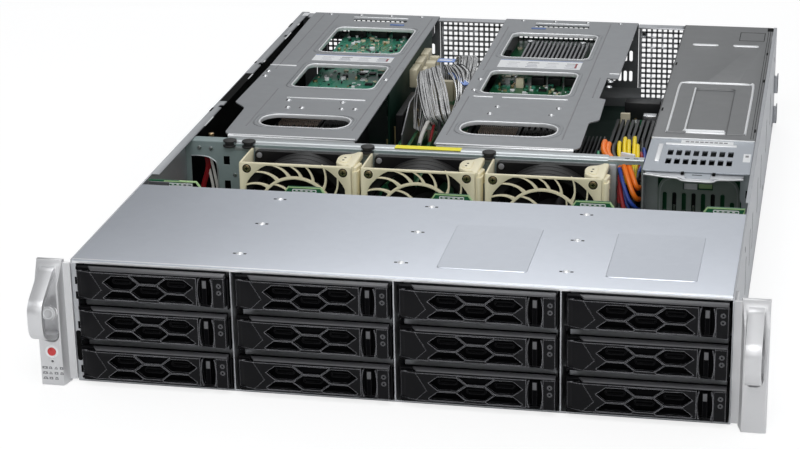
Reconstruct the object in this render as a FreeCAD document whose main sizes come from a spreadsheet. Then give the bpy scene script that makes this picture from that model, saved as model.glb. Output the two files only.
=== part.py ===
import FreeCAD, Part
import math
import os
import re
import Sketcher

# A 2U rack server with twelve hot-swap drives, its rear cover taken off.
# Frame: X to the right, Y to the rear, Z up, origin at the middle of the chassis floor.

doc = FreeCAD.newDocument("RackServer")
sheet = doc.addObject("Spreadsheet::Sheet", "Sizes")

SIZES = {
    # chassis shell
    "body_width": 437.0,
    "body_height": 88.0,
    "body_length": 648.0,
    "wall": 1.2,
    "left_flange": 7.0,
    "right_flange": 3.0,
    "flange_gap_from": 362.0,
    "flange_gap_to": 420.0,
    "front_return": 2.5,
    # drive bays
    "cover_length": 153.0,
    "lip_drop": 1.4,
    "bay_pitch": 109.0,
    "row_pitch": 28.6,
    "row_base": 1.2,
    "ledge": 1.0,
    "divider_length": 155.0,
    "drive_width": 101.6,
    "drive_height": 26.1,
    "drive_length": 147.0,
    "drive_setback": 10.0,
    "rail": 1.0,
    "tray_floor": 0.6,
    "tray_left": 3.7,
    "bezel_proud": 8.0,
    "bezel_bottom": 3.6,
    "bezel_top": 26.4,
    "bezel_bar": 1.8,
    "bezel_back": 3.0,
    "lever_gap": 0.4,
    "lever_depth": 3.2,
    "lever_end": 84.2,
    "lever_pin": 1.2,
    "pin_fit": 0.06,
    "groove_width": 10.1,
    "button_width": 3.2,
    "button_travel": 1.5,
    "cell_pitch": 19.0,
    "cell_rise": 9.8,
    "cell_flat": 13.0,
    "cell_rib": 1.3,
    "cell_slope": 6.3,
    # backplane
    "backplane_setback": 165.0,
    "board": 1.6,
    "tab_width": 38.0,
    "tab_top": 87.6,
    # fans
    "fan_size": 80.0,
    "fan_depth": 38.0,
    "fan_pitch": 93.5,
    "fan_first": -120.5,
    "fan_setback": 221.5,
    "fan_axis_height": 44.6,
    "fan_bore": 37.6,
    "fan_flange": 4.5,
    "guard": 2.5,
    "guard_ring": 30.0,
    "guard_rib": 1.8,
    "shroud_side": 3.0,
    "rotor_tip": 34.6,
    "blade_root": 20.0,
    "blade_tip": 25.0,
    "blade_pitch": 52.0,
    "hub_radius": 16.0,
    "blade": 1.7,
    "shaft": 2.0,
    # fan wall
    "wall_setback": 262.5,
    "wall_flange": 10.0,
    "wall_right": 136.5,
    # ears
    "ear_width": 22.8,
    "rack_hole_margin": 8.75,
    "rack_hole_height": 50.4,
    "rack_hole": 7.0,
    "ear_face": 10.0,
    "ear_taper": 7.0,
    "ear_top_depth": 3.0,
    "ear_slope": 16.0,
    "pocket_floor": 3.0,
    "pocket_low": 31.5,
    "handle_width": 10.0,
    "handle_reach": 26.0,
    "handle_strap": 2.8,
    "power_height": 24.5,
    "power_radius": 2.9,
    # boards and risers
    "board_lift": 6.8,
    "riser_front": 276.0,
    "riser_lift": 27.0,
    "riser_seat": 20.6,
    "lead_start": 38.0,
    "lead_end": 42.0,
    "plug_top": 30.0,
    "plug_low": 16.0,
    # power supplies
    "supply_width": 74.0,
    "supply_head": 5.0,
    "supply_length": 322.0,
    "supply_gap": 1.4,
    "supply_left": 140.0,
    "latch_pivot": 7.0,
    "latch_pin": 0.9,
    "bay_left": 137.0,
    "bay_front": 242.0,
    "bay_top_front": 317.0,
    # rear vents
    "vent_pitch": 9.6,
    "vent_hole": 7.8,
    "fit": 0.3,
}

for line, (alias, number) in enumerate(SIZES.items(), start=1):
    sheet.set(f"A{line}", alias)
    sheet.set(f"B{line}", str(number))
    sheet.setAlias(f"B{line}", alias)
doc.recompute()

FRONT = "(-body_length / 2)"
REAR = "(body_length / 2)"
HALF = "(body_width / 2)"
TOP = "(body_height - wall)"
HOLE = "(body_width / 2 + ear_width - rack_hole_margin)"
SUPPLY = "((body_height - 2 * wall - supply_gap - supply_head) / 2)"


def bound(text):
    """Point every size name in an expression at its cell."""
    return re.sub(r"[A-Za-z_]\w*", lambda m: f"Sizes.{m[0]}" if m[0] in SIZES else m[0], str(text))


def value(text):
    """The number that an expression of sizes comes to."""
    return float(sheet.evalExpression(bound(text)))


# ---------------------------------------------------------------- solid helpers

def put(item, x=None, y=None, z=None):
    """Bind an object's place to expressions."""
    for axis, text in (("x", x), ("y", y), ("z", z)):
        if text is not None:
            item.setExpression(f"Placement.Base.{axis}", bound(text))
    return item


def box(name, x0, x1, y0, y1, z0, z1):
    """A block given by its six faces."""
    item = doc.addObject("Part::Box", name)
    item.setExpression("Length", bound(f"({x1}) - ({x0})"))
    item.setExpression("Width", bound(f"({y1}) - ({y0})"))
    item.setExpression("Height", bound(f"({z1}) - ({z0})"))
    return put(item, x0, y0, z0)


def rod(name, radius, length, x, y, z, along="Z"):
    """A cylinder that starts at a point and runs along one axis."""
    item = doc.addObject("Part::Cylinder", name)
    item.setExpression("Radius", bound(radius))
    item.setExpression("Height", bound(length))
    turn = {"Z": (0, 0, 1, 0), "Y": (1, 0, 0, -90), "X": (0, 1, 0, 90)}[along]
    item.Placement = FreeCAD.Placement(FreeCAD.Vector(), FreeCAD.Rotation(FreeCAD.Vector(*turn[:3]), turn[3]))
    return put(item, x, y, z)


def cut(name, base, *tools):
    """One solid less the others."""
    item = doc.addObject("Part::Cut", name)
    item.Base = base
    item.Refine = True
    item.Tool = tools[0] if len(tools) == 1 else join(name + "_tools", *tools)
    return item


def join(name, *parts):
    """Several solids made one."""
    item = doc.addObject("Part::MultiFuse", name)
    item.Shapes = list(parts)
    return item


def overlap(name, *parts):
    """What several solids share."""
    item = doc.addObject("Part::MultiCommon", name)
    item.Shapes = list(parts)
    return item


# ---------------------------------------------------------------- body helpers

NORMAL_SIGN = {"XY": 1, "XZ": -1, "YZ": 1}


def new_body(name):
    """An empty body."""
    return doc.addObject("PartDesign::Body", name)


def sketch(body, plane, offset):
    """A sketch of the body on one of its own planes, moved along the third axis."""
    item = body.newObject("Sketcher::SketchObject", body.Name + "_sketch")
    support = [f for f in body.Origin.OriginFeatures if f.Role == plane + "_Plane"][0]
    item.AttachmentSupport = (support, [""])
    item.MapMode = "FlatFace"
    sign = "" if NORMAL_SIGN[plane] > 0 else "-"
    item.setExpression("AttachmentOffset.Base.z", bound(f"{sign}({offset})"))
    return item


def pad(body, plane, start, end, *shapes):
    """Add the drawn shapes from one coordinate to another along the plane's axis."""
    drawing = sketch(body, plane, start)
    for shape in shapes:
        shape(drawing)
    item = body.newObject("PartDesign::Pad", body.Name + "_pad")
    item.Profile = drawing
    item.Reversed = NORMAL_SIGN[plane] < 0
    item.setExpression("Length", bound(f"({end}) - ({start})"))
    return item


def pocket(body, plane, start, end, *shapes):
    """Take the drawn shapes away between two coordinates along the plane's axis."""
    drawing = sketch(body, plane, start)
    for shape in shapes:
        shape(drawing)
    item = body.newObject("PartDesign::Pocket", body.Name + "_pocket")
    item.Profile = drawing
    item.Reversed = NORMAL_SIGN[plane] > 0
    item.setExpression("Length", bound(f"({end}) - ({start})"))
    return item


def rectangle(x0, y0, x1, y1):
    """A rectangle whose sides are bound to expressions."""
    def draw(drawing):
        a, b, c, d = value(x0), value(y0), value(x1), value(y1)
        corners = [FreeCAD.Vector(*p, 0) for p in ((a, b), (c, b), (c, d), (a, d))]
        first = drawing.GeometryCount
        for here, there in zip(corners, corners[1:] + corners[:1]):
            drawing.addGeometry(Part.LineSegment(here, there), False)
        for side in range(4):
            drawing.addConstraint(Sketcher.Constraint("Coincident", first + side, 2, first + (side + 1) % 4, 1))
        for side, kind in enumerate(("Horizontal", "Vertical", "Horizontal", "Vertical")):
            drawing.addConstraint(Sketcher.Constraint(kind, first + side))
        for kind, side, text in (("DistanceX", 0, x0), ("DistanceY", 0, y0), ("DistanceX", 2, x1), ("DistanceY", 2, y1)):
            index = drawing.addConstraint(Sketcher.Constraint(kind, -1, 1, first + side, 1, value(text)))
            drawing.setExpression(f"Constraints[{index}]", bound(text))
    return draw


def circle(x, y, radius):
    """A circle whose centre and radius are bound to expressions."""
    def draw(drawing):
        ring = Part.Circle(FreeCAD.Vector(value(x), value(y), 0), FreeCAD.Vector(0, 0, 1), value(radius))
        index = drawing.addGeometry(ring, False)
        for kind, text in (("DistanceX", x), ("DistanceY", y)):
            tie = drawing.addConstraint(Sketcher.Constraint(kind, -1, 1, index, 3, value(text)))
            drawing.setExpression(f"Constraints[{tie}]", bound(text))
        tie = drawing.addConstraint(Sketcher.Constraint("Radius", index, value(radius)))
        drawing.setExpression(f"Constraints[{tie}]", bound(radius))
    return draw


def rounded(points):
    """Lines through (x, y, radius) corners, each corner turned by a tangent arc."""
    spots = [(FreeCAD.Vector(value(p[0]), value(p[1]), 0), value(p[2]) if len(p) > 2 else 0.0) for p in points]
    ends = []
    for n, (corner, radius) in enumerate(spots):
        before = (spots[n - 1][0] - corner).normalize()
        after = (spots[(n + 1) % len(spots)][0] - corner).normalize()
        if radius <= 0:
            ends.append((corner, corner, None))
            continue
        half = before.getAngle(after) / 2
        reach = radius / math.tan(half)
        middle = corner + (before + after).normalize() * (radius / math.sin(half))
        bend = middle + (corner - middle).normalize() * radius
        ends.append((corner + before * reach, corner + after * reach, bend))
    curves = []
    for n, (start, end, bend) in enumerate(ends):
        if bend:
            curves.append(Part.Arc(start, bend, end))
        following = ends[(n + 1) % len(ends)][0]
        if end.distanceToPoint(following) > 1e-6:
            curves.append(Part.LineSegment(end, following))
    return curves


def outline(*points):
    """A closed outline with rounded corners, for a sketch."""
    def draw(drawing):
        drawing.addGeometry(rounded(points), False)
    return draw


def window(x0, y0, x1, y1, radius):
    """A rectangle with four round corners."""
    return outline((x0, y0, radius), (x1, y0, radius), (x1, y1, radius), (x0, y1, radius))


def grid(x0, y0, columns, rows, pitch, hole):
    """Square holes in rows and columns, each placed by its middle."""
    def draw(drawing):
        half = value(hole) / 2
        for column in range(columns):
            for row in range(rows):
                x = value(x0) + column * value(pitch)
                y = value(y0) + row * value(pitch)
                corners = [(x - half, y - half), (x + half, y - half), (x + half, y + half), (x - half, y + half)]
                vectors = [FreeCAD.Vector(*corner, 0) for corner in corners]
                for here, there in zip(vectors, vectors[1:] + vectors[:1]):
                    drawing.addGeometry(Part.LineSegment(here, there), False)
    return draw


# ---------------------------------------------------------------- nodes

NODES = {}


def node(name, *solids):
    """Name one sub-part, made of one solid or of several that stay together."""
    if len(solids) == 1:
        item = solids[0]
    else:
        item = doc.addObject("Part::Compound", name)
        item.Links = list(solids)
    item.Label = name
    NODES[name] = item
    return item


def copy_of(name, source, x="0", y="0", z="0"):
    """A body that repeats another sub-part at its own place."""
    body = new_body(name + "_copy")
    base = body.newObject("PartDesign::FeatureBase", name + "_base")
    base.BaseFeature = source
    body.Tip = base
    put(body, x, y, z)
    body.Label = name
    NODES[name] = body
    return body


# ---------------------------------------------------------------- chassis

def column_left(column):
    """Left edge of a drive column."""
    return f"({column - 2} * bay_pitch)"


def row_low(row):
    """Height that a row of trays stands on."""
    return f"(row_base + {row} * row_pitch)"


def make_chassis():
    """The bent floor and side walls, with the drive cage dividers and their ledges."""
    body = new_body("chassis_shell")
    pad(body, "XZ", FRONT, REAR, outline(
        (f"-{HALF}", "0"), (HALF, "0"), (HALF, "body_height"),
        (f"{HALF} - right_flange", "body_height"), (f"{HALF} - right_flange", TOP),
        (f"{HALF} - wall", TOP), (f"{HALF} - wall", "wall"),
        (f"-{HALF} + wall", "wall"), (f"-{HALF} + wall", TOP),
        (f"-{HALF} + left_flange", TOP), (f"-{HALF} + left_flange", "body_height"),
        (f"-{HALF}", "body_height")))
    inner = f"({HALF} - wall)"
    pocket(body, "XY", TOP, "body_height",
           rectangle(f"-{inner}", FRONT, inner, f"{FRONT} + backplane_setback + 12"))
    pocket(body, "XY", TOP, "body_height",
           rectangle(f"-{inner}", f"{FRONT} + flange_gap_from", f"-{HALF} + left_flange", f"{FRONT} + flange_gap_to"))
    notches = [rectangle(f"-{HALF} + left_flange - 3", f"{FRONT} + {spot}", f"-{HALF} + left_flange", f"{FRONT} + {spot} + 7")
               for spot in (345, 470, 560)]
    pocket(body, "XY", TOP, "body_height", *notches)
    pad(body, "XZ", FRONT, f"{FRONT} + wall", rectangle(f"-{inner}", "wall", f"-{inner} + front_return", f"{TOP} - lip_drop"))
    for divider in (-1, 0, 1):
        middle = f"({divider} * bay_pitch)"
        pad(body, "XZ", FRONT, f"{FRONT} + divider_length",
            rectangle(f"{middle} - wall / 2", "wall", f"{middle} + wall / 2", TOP))
    pocket(body, "XY", f"{TOP} - lip_drop", TOP, rectangle(f"-{inner}", FRONT, inner, f"{FRONT} + wall"))
    support = "(tray_left + 1.2)"
    for row in (1, 2):
        strips = []
        for column in range(4):
            left = column_left(column)
            wall_face = "(wall / 2)" if column else f"(2 * bay_pitch - {inner})"
            far_face = "(wall / 2)" if column < 3 else f"(2 * bay_pitch - {inner})"
            strips.append(rectangle(f"{left} + {wall_face}", f"{row_low(row)} - ledge", f"{left} + {support}", row_low(row)))
            strips.append(rectangle(f"{left} + tray_left + drive_width + 2 * rail - 1.2", f"{row_low(row)} - ledge",
                                    f"{left} + bay_pitch - {far_face}", row_low(row)))
        pad(body, "XZ", f"{FRONT} + drive_setback", f"{FRONT} + divider_length - 10", *strips)
    return node("chassis_base", body)


def make_rear_panel():
    """The rear wall with its riser, port and supply openings and its vent grids."""
    body = new_body("rear_sheet")
    inner = f"({HALF} - wall)"
    pad(body, "XZ", f"{REAR} - wall", REAR, outline(
        (f"-{inner}", "wall"), (inner, "wall"), (inner, TOP), ("95.5", TOP), ("95.5", "riser_lift"),
        ("-25.5", "riser_lift"), ("-25.5", TOP), ("-87.5", TOP), ("-87.5", "riser_lift"),
        ("-206", "riser_lift"), ("-206", TOP), (f"-{inner}", TOP)))
    for low, high in ((f"-{inner}", "-206"), ("-87.5", "-25.5"), ("95.5", "bay_left")):
        pad(body, "XZ", f"{REAR} - wall - 10", f"{REAR} - wall", rectangle(low, f"{TOP} - wall", high, TOP))
    pocket(body, "XZ", f"{REAR} - wall", REAR,
           rectangle("supply_left - 0.6", "wall - 1", "supply_left + supply_width + 0.6",
                     f"wall + 2 * {SUPPLY} + supply_gap + 0.6"),
           rectangle("-196", "board_lift + wall + board", "-132", "riser_lift - 3"),
           rectangle("-118", "board_lift + wall + board", "-34", "riser_lift - 3"),
           grid("bay_left - 6 - 3 * vent_pitch", f"{TOP} - 7 - 6 * vent_pitch", 4, 7, "vent_pitch", "vent_hole"),
           grid("-32.5 - 5 * vent_pitch", f"{TOP} - 7 - 4 * vent_pitch", 6, 5, "vent_pitch", "vent_hole"))
    return node("rear_panel", body)


def make_drive_cover():
    """The top sheet over the drives, with its front lip, side lips and two raised panels."""
    body = new_body("drive_cover_sheet")
    inner = f"({HALF} - wall)"
    end = f"{FRONT} + cover_length"
    pad(body, "YZ", f"-{inner}", inner, outline(
        (FRONT, f"{TOP} - lip_drop"), (f"{FRONT} + wall", f"{TOP} - lip_drop"), (f"{FRONT} + wall", TOP),
        (end, TOP), (end, "body_height"), (FRONT, "body_height", "0.8")))
    for side in (f"-{inner}", f"{inner} - wall"):
        pad(body, "YZ", side, f"{side} + wall", rectangle(f"{FRONT} + 6", f"{TOP} - 3", end, TOP))
    for left, right in (("24.5", "84"), ("134.8", "193.5")):
        pad(body, "XY", "body_height", "body_height + 0.5",
            window(left, f"{FRONT} + 21", right, f"{FRONT} + 103", "3"))
    return node("drive_bay_cover", body)


# ---------------------------------------------------------------- drive bays

def make_carrier():
    """A tray with its bezel frame and the drive in it, drawn for the lowest row's floor."""
    left = "tray_left"
    right = f"({left} + drive_width + 2 * rail)"
    face = f"({FRONT} - bezel_proud)"
    back = f"({FRONT} - bezel_back)"
    body = new_body("tray")
    pad(body, "XZ", back, FRONT, rectangle(f"{left} + 0.8", "bezel_bottom", f"{right} - 0.8", "bezel_top"))
    pad(body, "YZ", f"{left} + 8", f"{right} - 0.8", outline(
        (back, "bezel_top"), (back, "bezel_top - bezel_bar - 0.4"), (face, "bezel_top - bezel_bar - 0.4"),
        (face, "bezel_top - bezel_bar")))
    pad(body, "YZ", f"{left} + 0.8", f"{right} - 0.8", rectangle(f"{face} + 2.4", "bezel_bottom", back, "bezel_bottom + 1.6"))
    pad(body, "XZ", f"{face} + 2.4", back,
        rectangle(f"{left} + 0.8", "bezel_top - bezel_bar", f"{left} + 8", "bezel_top"))
    groove = "(lever_end + tray_left + lever_gap)"
    pad(body, "XZ", f"{face} + 0.4", back,
        rectangle(f"{groove} + groove_width", "bezel_bottom", f"{right} - 0.8", "bezel_top - bezel_bar"))
    pocket(body, "XZ", back, FRONT,
           rectangle(f"{left} + 17", "bezel_bottom + 4", f"{groove} - 4", "bezel_top - 5"),
           rectangle(f"{left} + 0.8", "bezel_bottom + 1.6", f"{left} + 9", "bezel_top - bezel_bar - 0.4"),
           rectangle(f"{groove} + groove_width / 2 - 1.1", "bezel_bottom + 7",
                     f"{groove} + groove_width / 2 + 1.1", "bezel_top - 7"))
    pin_x = f"{left} + 4"
    pin_y = f"{face} + 4.2"
    pocket(body, "XY", "bezel_bottom + 0.4", "bezel_top - 0.4", circle(pin_x, pin_y, "lever_pin + pin_fit"))
    for side in (left, f"{right} - rail"):
        pad(body, "YZ", side, f"{side} + rail", outline(
            (FRONT, "0"), (f"{FRONT} + drive_setback + drive_length - 6", "0"),
            (f"{FRONT} + drive_setback + drive_length - 6", "14"), (f"{FRONT} + 70", "14"),
            (f"{FRONT} + 62", "22"), (FRONT, "22")))
    for spot in (14, 134):
        pad(body, "XY", "0", "tray_floor", rectangle(f"{left} + rail", f"{FRONT} + {spot}", f"{right} - rail", f"{FRONT} + {spot} + 14"))
    drive = new_body("disk")
    pad(drive, "XY", "tray_floor", "tray_floor + drive_height",
        rectangle(f"{left} + rail", f"{FRONT} + drive_setback", f"{right} - rail",
                  f"{FRONT} + drive_setback + drive_length"))
    return body, drive


def hexagon(x, z):
    """One long hexagonal window of the lever's lattice."""
    tip = f"(cell_flat / 2 + cell_slope - cell_rib / 2)"
    flat = "(cell_flat / 2 - cell_rib / 4)"
    rise = "((cell_rise - cell_rib) / 2)"
    return outline((f"{x} - {tip}", z), (f"{x} - {flat}", f"{z} - {rise}"), (f"{x} + {flat}", f"{z} - {rise}"),
                   (f"{x} + {tip}", z), (f"{x} + {flat}", f"{z} + {rise}"), (f"{x} - {flat}", f"{z} + {rise}"))


def make_lever():
    """The swinging front lever: a lattice of long hexagons with a raked left end and its hinge pin."""
    left = "(tray_left + 1.2)"
    face = f"({FRONT} - bezel_proud)"
    back = f"({face} + lever_depth)"
    low = "(bezel_bottom + 1.6 + lever_gap)"
    high = "(bezel_top - bezel_bar - 0.4 - lever_gap)"
    body = new_body("lever")
    pad(body, "XY", low, high, outline(
        (left, f"{face} + 3.6"), (f"{left} + 12", face), ("tray_left + lever_end", face),
        ("tray_left + lever_end", back), (f"{left} + 8", back), (f"{left} + 5", f"{back} + 1.6"),
        (f"{left} + 0.6", f"{back} + 1.6")))
    middle = "(tray_left + 51)"
    centre = "((bezel_bottom + bezel_top) / 2 - 3)"
    pocket(body, "XZ", face, f"{back} + 2",
           hexagon(middle, centre),
           hexagon(f"{middle} - cell_pitch", f"{centre} + cell_rise / 2"),
           hexagon(f"{middle} + cell_pitch", f"{centre} + cell_rise / 2"))
    half_low = f"({low} + cell_rib)"
    for side in ("-", "+"):
        x = f"({middle} {side} cell_pitch)"
        z = f"({centre} - cell_rise / 2)"
        flat = "(cell_flat / 2 - cell_rib / 4)"
        tip = "(cell_flat / 2 + cell_slope - cell_rib / 2)"
        pocket(body, "XZ", face, f"{back} + 2", outline(
            (f"{x} - {tip}", z), (f"{x} - {flat} - 2", half_low), (f"{x} + {flat} + 2", half_low), (f"{x} + {tip}", z),
            (f"{x} + {flat}", f"{z} + (cell_rise - cell_rib) / 2"), (f"{x} - {flat}", f"{z} + (cell_rise - cell_rib) / 2")))
    pad(body, "XY", "bezel_bottom + 0.6", "bezel_top - 0.6", circle("tray_left + 4", f"{face} + 4.2", "lever_pin"))
    return body


def make_release():
    """The release button, with the stem that runs through the bezel."""
    face = f"({FRONT} - bezel_proud)"
    middle = "(tray_left + lever_end + lever_gap + groove_width / 2)"
    body = new_body("release")
    pad(body, "XZ", f"{face} + 0.3", f"{FRONT} - bezel_back - button_travel - 0.2",
        rectangle(f"{middle} - button_width / 2", "bezel_bottom + 2", f"{middle} + button_width / 2", "bezel_top - bezel_bar - 1.6"))
    pad(body, "XZ", f"{FRONT} - bezel_back - button_travel - 0.2", f"{FRONT} - 0.6",
        rectangle(f"{middle} - 1.05", "bezel_bottom + 7.05", f"{middle} + 1.05", "bezel_top - 7.05"))
    return body


def make_drives():
    """Twelve drives: the first set is drawn, the others repeat it."""
    first = (node("drive_carrier_1", *make_carrier()), node("drive_lever_1", make_lever()),
             node("drive_release_1", make_release()))
    for item in first:
        put(item, column_left(0), "0", row_low(0))
    for number in range(2, 13):
        column, row = divmod(number - 1, 3)
        for stem, source in zip(("drive_carrier", "drive_lever", "drive_release"), first):
            copy_of(f"{stem}_{number}", source, column_left(column), "0", row_low(row))


def make_backplane():
    """The drive backplane, with tabs that reach the cover and a connector for every drive."""
    body = new_body("backplane_board")
    face = f"({FRONT} + backplane_setback)"
    pad(body, "XZ", face, f"{face} + board", rectangle(f"-{HALF} + wall + 1", "wall", f"{HALF} - wall - 1", "76"))
    for middle in (-205, -99, 9, 110, 202):
        left = f"({max(middle - 19, -216)})"
        right = f"({min(middle + 19, 216)})"
        pad(body, "XZ", face, f"{face} + board", outline(
            (left, "75"), (right, "75"), (f"{right} - {0 if middle > 200 else 7}", "tab_top"),
            (f"{left} + {0 if middle < -200 else 7}", "tab_top")))
    plugs = [rectangle(f"{column_left(column)} + 40", f"{row_low(row)} + 3", f"{column_left(column)} + 73", f"{row_low(row)} + 10")
             for column in range(4) for row in range(3)]
    pad(body, "XZ", f"{face} - 6", face, *plugs)
    sockets = [rectangle(f"{x}", "20", f"{x + 24}", "30") for x in (-170, -60, 40, 150)]
    pad(body, "XZ", f"{face} + board", f"{face} + board + 9", *sockets)
    return node("drive_backplane", body)


# ---------------------------------------------------------------- fans

def fan_x(number):
    """Middle of a fan, counted from the left."""
    return f"(fan_first + {number} * fan_pitch)"


def make_fan_frame():
    """The black fan body: a round duct between two square flanges, four struts and the motor seat."""
    half = "(fan_size / 2)"
    front = f"({FRONT} + fan_setback + guard)"
    rear = f"({front} + fan_depth - guard)"
    size = (f"-{half} + 0.2", f"{half} - 0.2")
    height = (f"fan_axis_height - {half}", f"fan_axis_height + {half} - 1.5")
    shell = join("fan_tube", box("fan_front_flange", *size, front, f"{front} + fan_flange", *height),
                 box("fan_rear_flange", *size, f"{rear} - fan_flange", rear, *height),
                 rod("fan_duct", "fan_bore + 1", "fan_depth - guard", "0", front, "fan_axis_height", "Y"))
    bore = rod("fan_bore_tool", "fan_bore", "fan_depth", "0", front, "fan_axis_height", "Y")
    seat = rod("fan_motor_seat", "hub_radius", "3", "0", f"{rear} - 3", "fan_axis_height", "Y")
    struts = [box("fan_strut_across", "-fan_bore - 0.5", "fan_bore + 0.5", f"{rear} - 3", rear,
                  "fan_axis_height - 1.5", "fan_axis_height + 1.5"),
              box("fan_strut_up", "-1.5", "1.5", f"{rear} - 3", rear,
                  "fan_axis_height - fan_bore - 0.5", "fan_axis_height + fan_bore - 0.5")]
    bearing = rod("fan_bearing_tool", "shaft + pin_fit", "4", "0", f"{rear} - 3.5", "fan_axis_height", "Y")
    return cut("fan_frame", join("fan_frame_full", cut("fan_shell", shell, bore), seat, *struts), bearing)


def swept_rib(angle, inner, outer, sweep):
    """One guard rib, a straight bar leaning off the radius, from one radius to another."""
    def at(radius, turn):
        return FreeCAD.Vector(radius * math.cos(turn), radius * math.sin(turn), 0)
    start, end = at(inner, angle), at(outer, angle + sweep)
    along = (end - start).normalize()
    across = FreeCAD.Vector(-along.y, along.x, 0) * (value("guard_rib") / 2)
    return Part.makePolygon([start - across, end - across, end + across, start + across, start - across])


def guard_bars():
    """Ring, boss and swept ribs of the finger guard, as one solid."""
    bars = []
    depth = FreeCAD.Vector(0, 0, value("guard") + 2)
    reach = value("guard_ring")
    for count, inner, outer, sweep in ((20, reach - 0.6, reach + 24, 0.36), (5, 9.0, reach - 0.6, 0.5)):
        for number in range(count):
            angle = 2 * math.pi * number / count + math.radians(8)
            bars.append(Part.Face(swept_rib(angle, inner, outer, sweep)).extrude(depth))
    ring = Part.makeCylinder(value("guard_ring"), depth.z).cut(
        Part.makeCylinder(value("guard_ring - guard_rib"), depth.z))
    boss = Part.makeCylinder(10.0, depth.z)
    solid = ring.fuse([boss] + bars).removeSplitter()
    item = doc.addObject("Part::Feature", "guard_bars")
    item.Shape = solid
    item.Placement = FreeCAD.Placement(
        FreeCAD.Vector(0, value(f"{FRONT} + fan_setback + guard + 1"), value("fan_axis_height")),
        FreeCAD.Rotation(FreeCAD.Vector(1, 0, 0), 90))
    return item


def make_fan_shroud():
    """The ivory fan carrier: guard plate, side walls, hook latch and lead-in gusset."""
    half = "(fan_size / 2)"
    face = f"({FRONT} + fan_setback)"
    low = "(fan_axis_height - fan_size / 2)"
    high = "(fan_axis_height + fan_size / 2)"
    edge = f"({half} + shroud_side)"
    body = new_body("shroud")
    pad(body, "XZ", face, f"{face} + guard",
        outline((f"-{edge}", low, "2"), (edge, low, "2"), (edge, high, "1.5"), (f"-{edge}", high, "1.5")))
    pad(body, "YZ", f"-{edge}", f"-{half} - 0.2", outline(
        (f"{face} + guard", low), (f"{face} + fan_depth", low), (f"{face} + fan_depth", f"{high} - 3", "2"),
        (f"{face} + guard", f"{high} - 1")))
    pad(body, "YZ", f"{half} + 0.2", edge, outline(
        (f"{face} + guard", low), (f"{face} + fan_depth", low), (f"{face} + fan_depth", f"{high} - 14", "2"),
        (f"{face} + guard", f"{high} - 1")))
    pad(body, "XY", f"{high} - 4", high, outline(
        (f"{half} - 9", f"{face} + guard + 10", "2.5"), (f"{half} - 1", f"{face} + guard + 10", "1"),
        (f"{half} - 1", f"{face} + guard"), (f"{edge} + 2.4", f"{face} + guard"),
        (f"{edge} + 2.4", f"{face} + fan_depth - 6", "1.5"), (f"{half} + 0.5", f"{face} + fan_depth - 6", "1.5"),
        (f"{half} + 0.5", f"{face} + guard + 17", "2"), (f"{half} - 9", f"{face} + guard + 17", "2.5")))
    pad(body, "YZ", f"{edge} + 0.4", f"{edge} + 2.4", outline(
        (f"{face} + guard", f"{high} - 40"), (f"{face} + guard + 12", f"{high} - 40", "3"),
        (f"{face} + guard + 17", f"{high} - 4"), (f"{face} + guard", f"{high} - 4")))
    pad(body, "XZ", face, f"{face} + guard",
        rectangle(f"{edge} - 1", f"{high} - 40", f"{edge} + 2.4", f"{high} - 1.5"))
    reach = "(fan_size / 2 - 1.6)"
    field = overlap("guard_field",
                    box("guard_square", f"-{reach}", reach, f"{face} - 1", f"{face} + guard + 0.5",
                        f"fan_axis_height - {reach}", f"fan_axis_height + {reach} - 1"),
                    rod("guard_round", "fan_size / 2 + 5.5", "guard + 1.5", "0", f"{face} - 1", "fan_axis_height", "Y"))
    holes = cut("guard_holes", field, guard_bars())
    return cut("fan_carrier", body, holes)


def make_rotor():
    """Hub, shaft and seven lofted, pitched blades, drawn about the Y axis at the origin."""
    body = new_body("rotor")
    depth = "(fan_depth - guard - 3)"
    pad(body, "XZ", "1", f"{depth} - 0.6", circle("0", "0", "hub_radius"))
    pad(body, "XZ", f"{depth} - 0.6", f"{depth} + 2.6", circle("0", "0", "shaft"))
    middle = value(f"{depth} / 2")
    loft_ends = []
    for radius, chord in (("hub_radius - 1", "blade_root"), ("rotor_tip", "blade_tip")):
        drawing = sketch(body, "YZ", radius)
        turn = math.radians(value("blade_pitch"))
        along = FreeCAD.Vector(math.cos(turn), math.sin(turn), 0) * (value(chord) / 2)
        across = FreeCAD.Vector(-math.sin(turn), math.cos(turn), 0) * (value("blade") / 2)
        centre = FreeCAD.Vector(middle, 0, 0)
        corners = [centre - along - across, centre + along - across, centre + along + across, centre - along + across]
        for here, there in zip(corners, corners[1:] + corners[:1]):
            drawing.addGeometry(Part.LineSegment(here, there), False)
        loft_ends.append(drawing)
    blade = body.newObject("PartDesign::AdditiveLoft", "rotor_blade")
    blade.Profile = loft_ends[0]
    blade.Sections = [loft_ends[1]]
    blade.Ruled = True
    ring = body.newObject("PartDesign::PolarPattern", "rotor_blades")
    ring.Originals = [blade]
    ring.Axis = ([f for f in body.Origin.OriginFeatures if f.Role == "Y_Axis"][0], [""])
    ring.Angle = 360
    ring.Occurrences = 7
    body.Tip = ring
    return body


def make_fans():
    """Three fan modules and their rotors."""
    carrier = make_fan_shroud()
    frame = make_fan_frame()
    first = node("fan_module_1", carrier, frame)
    put(first, fan_x(0))
    rotor = node("fan_rotor_1", make_rotor())
    put(rotor, fan_x(0), f"{FRONT} + fan_setback + guard", "fan_axis_height")
    for number in (2, 3):
        copy_of(f"fan_module_{number}", first, fan_x(number - 1))
        copy_of(f"fan_rotor_{number}", rotor, fan_x(number - 1), f"{FRONT} + fan_setback + guard", "fan_axis_height")


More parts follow.
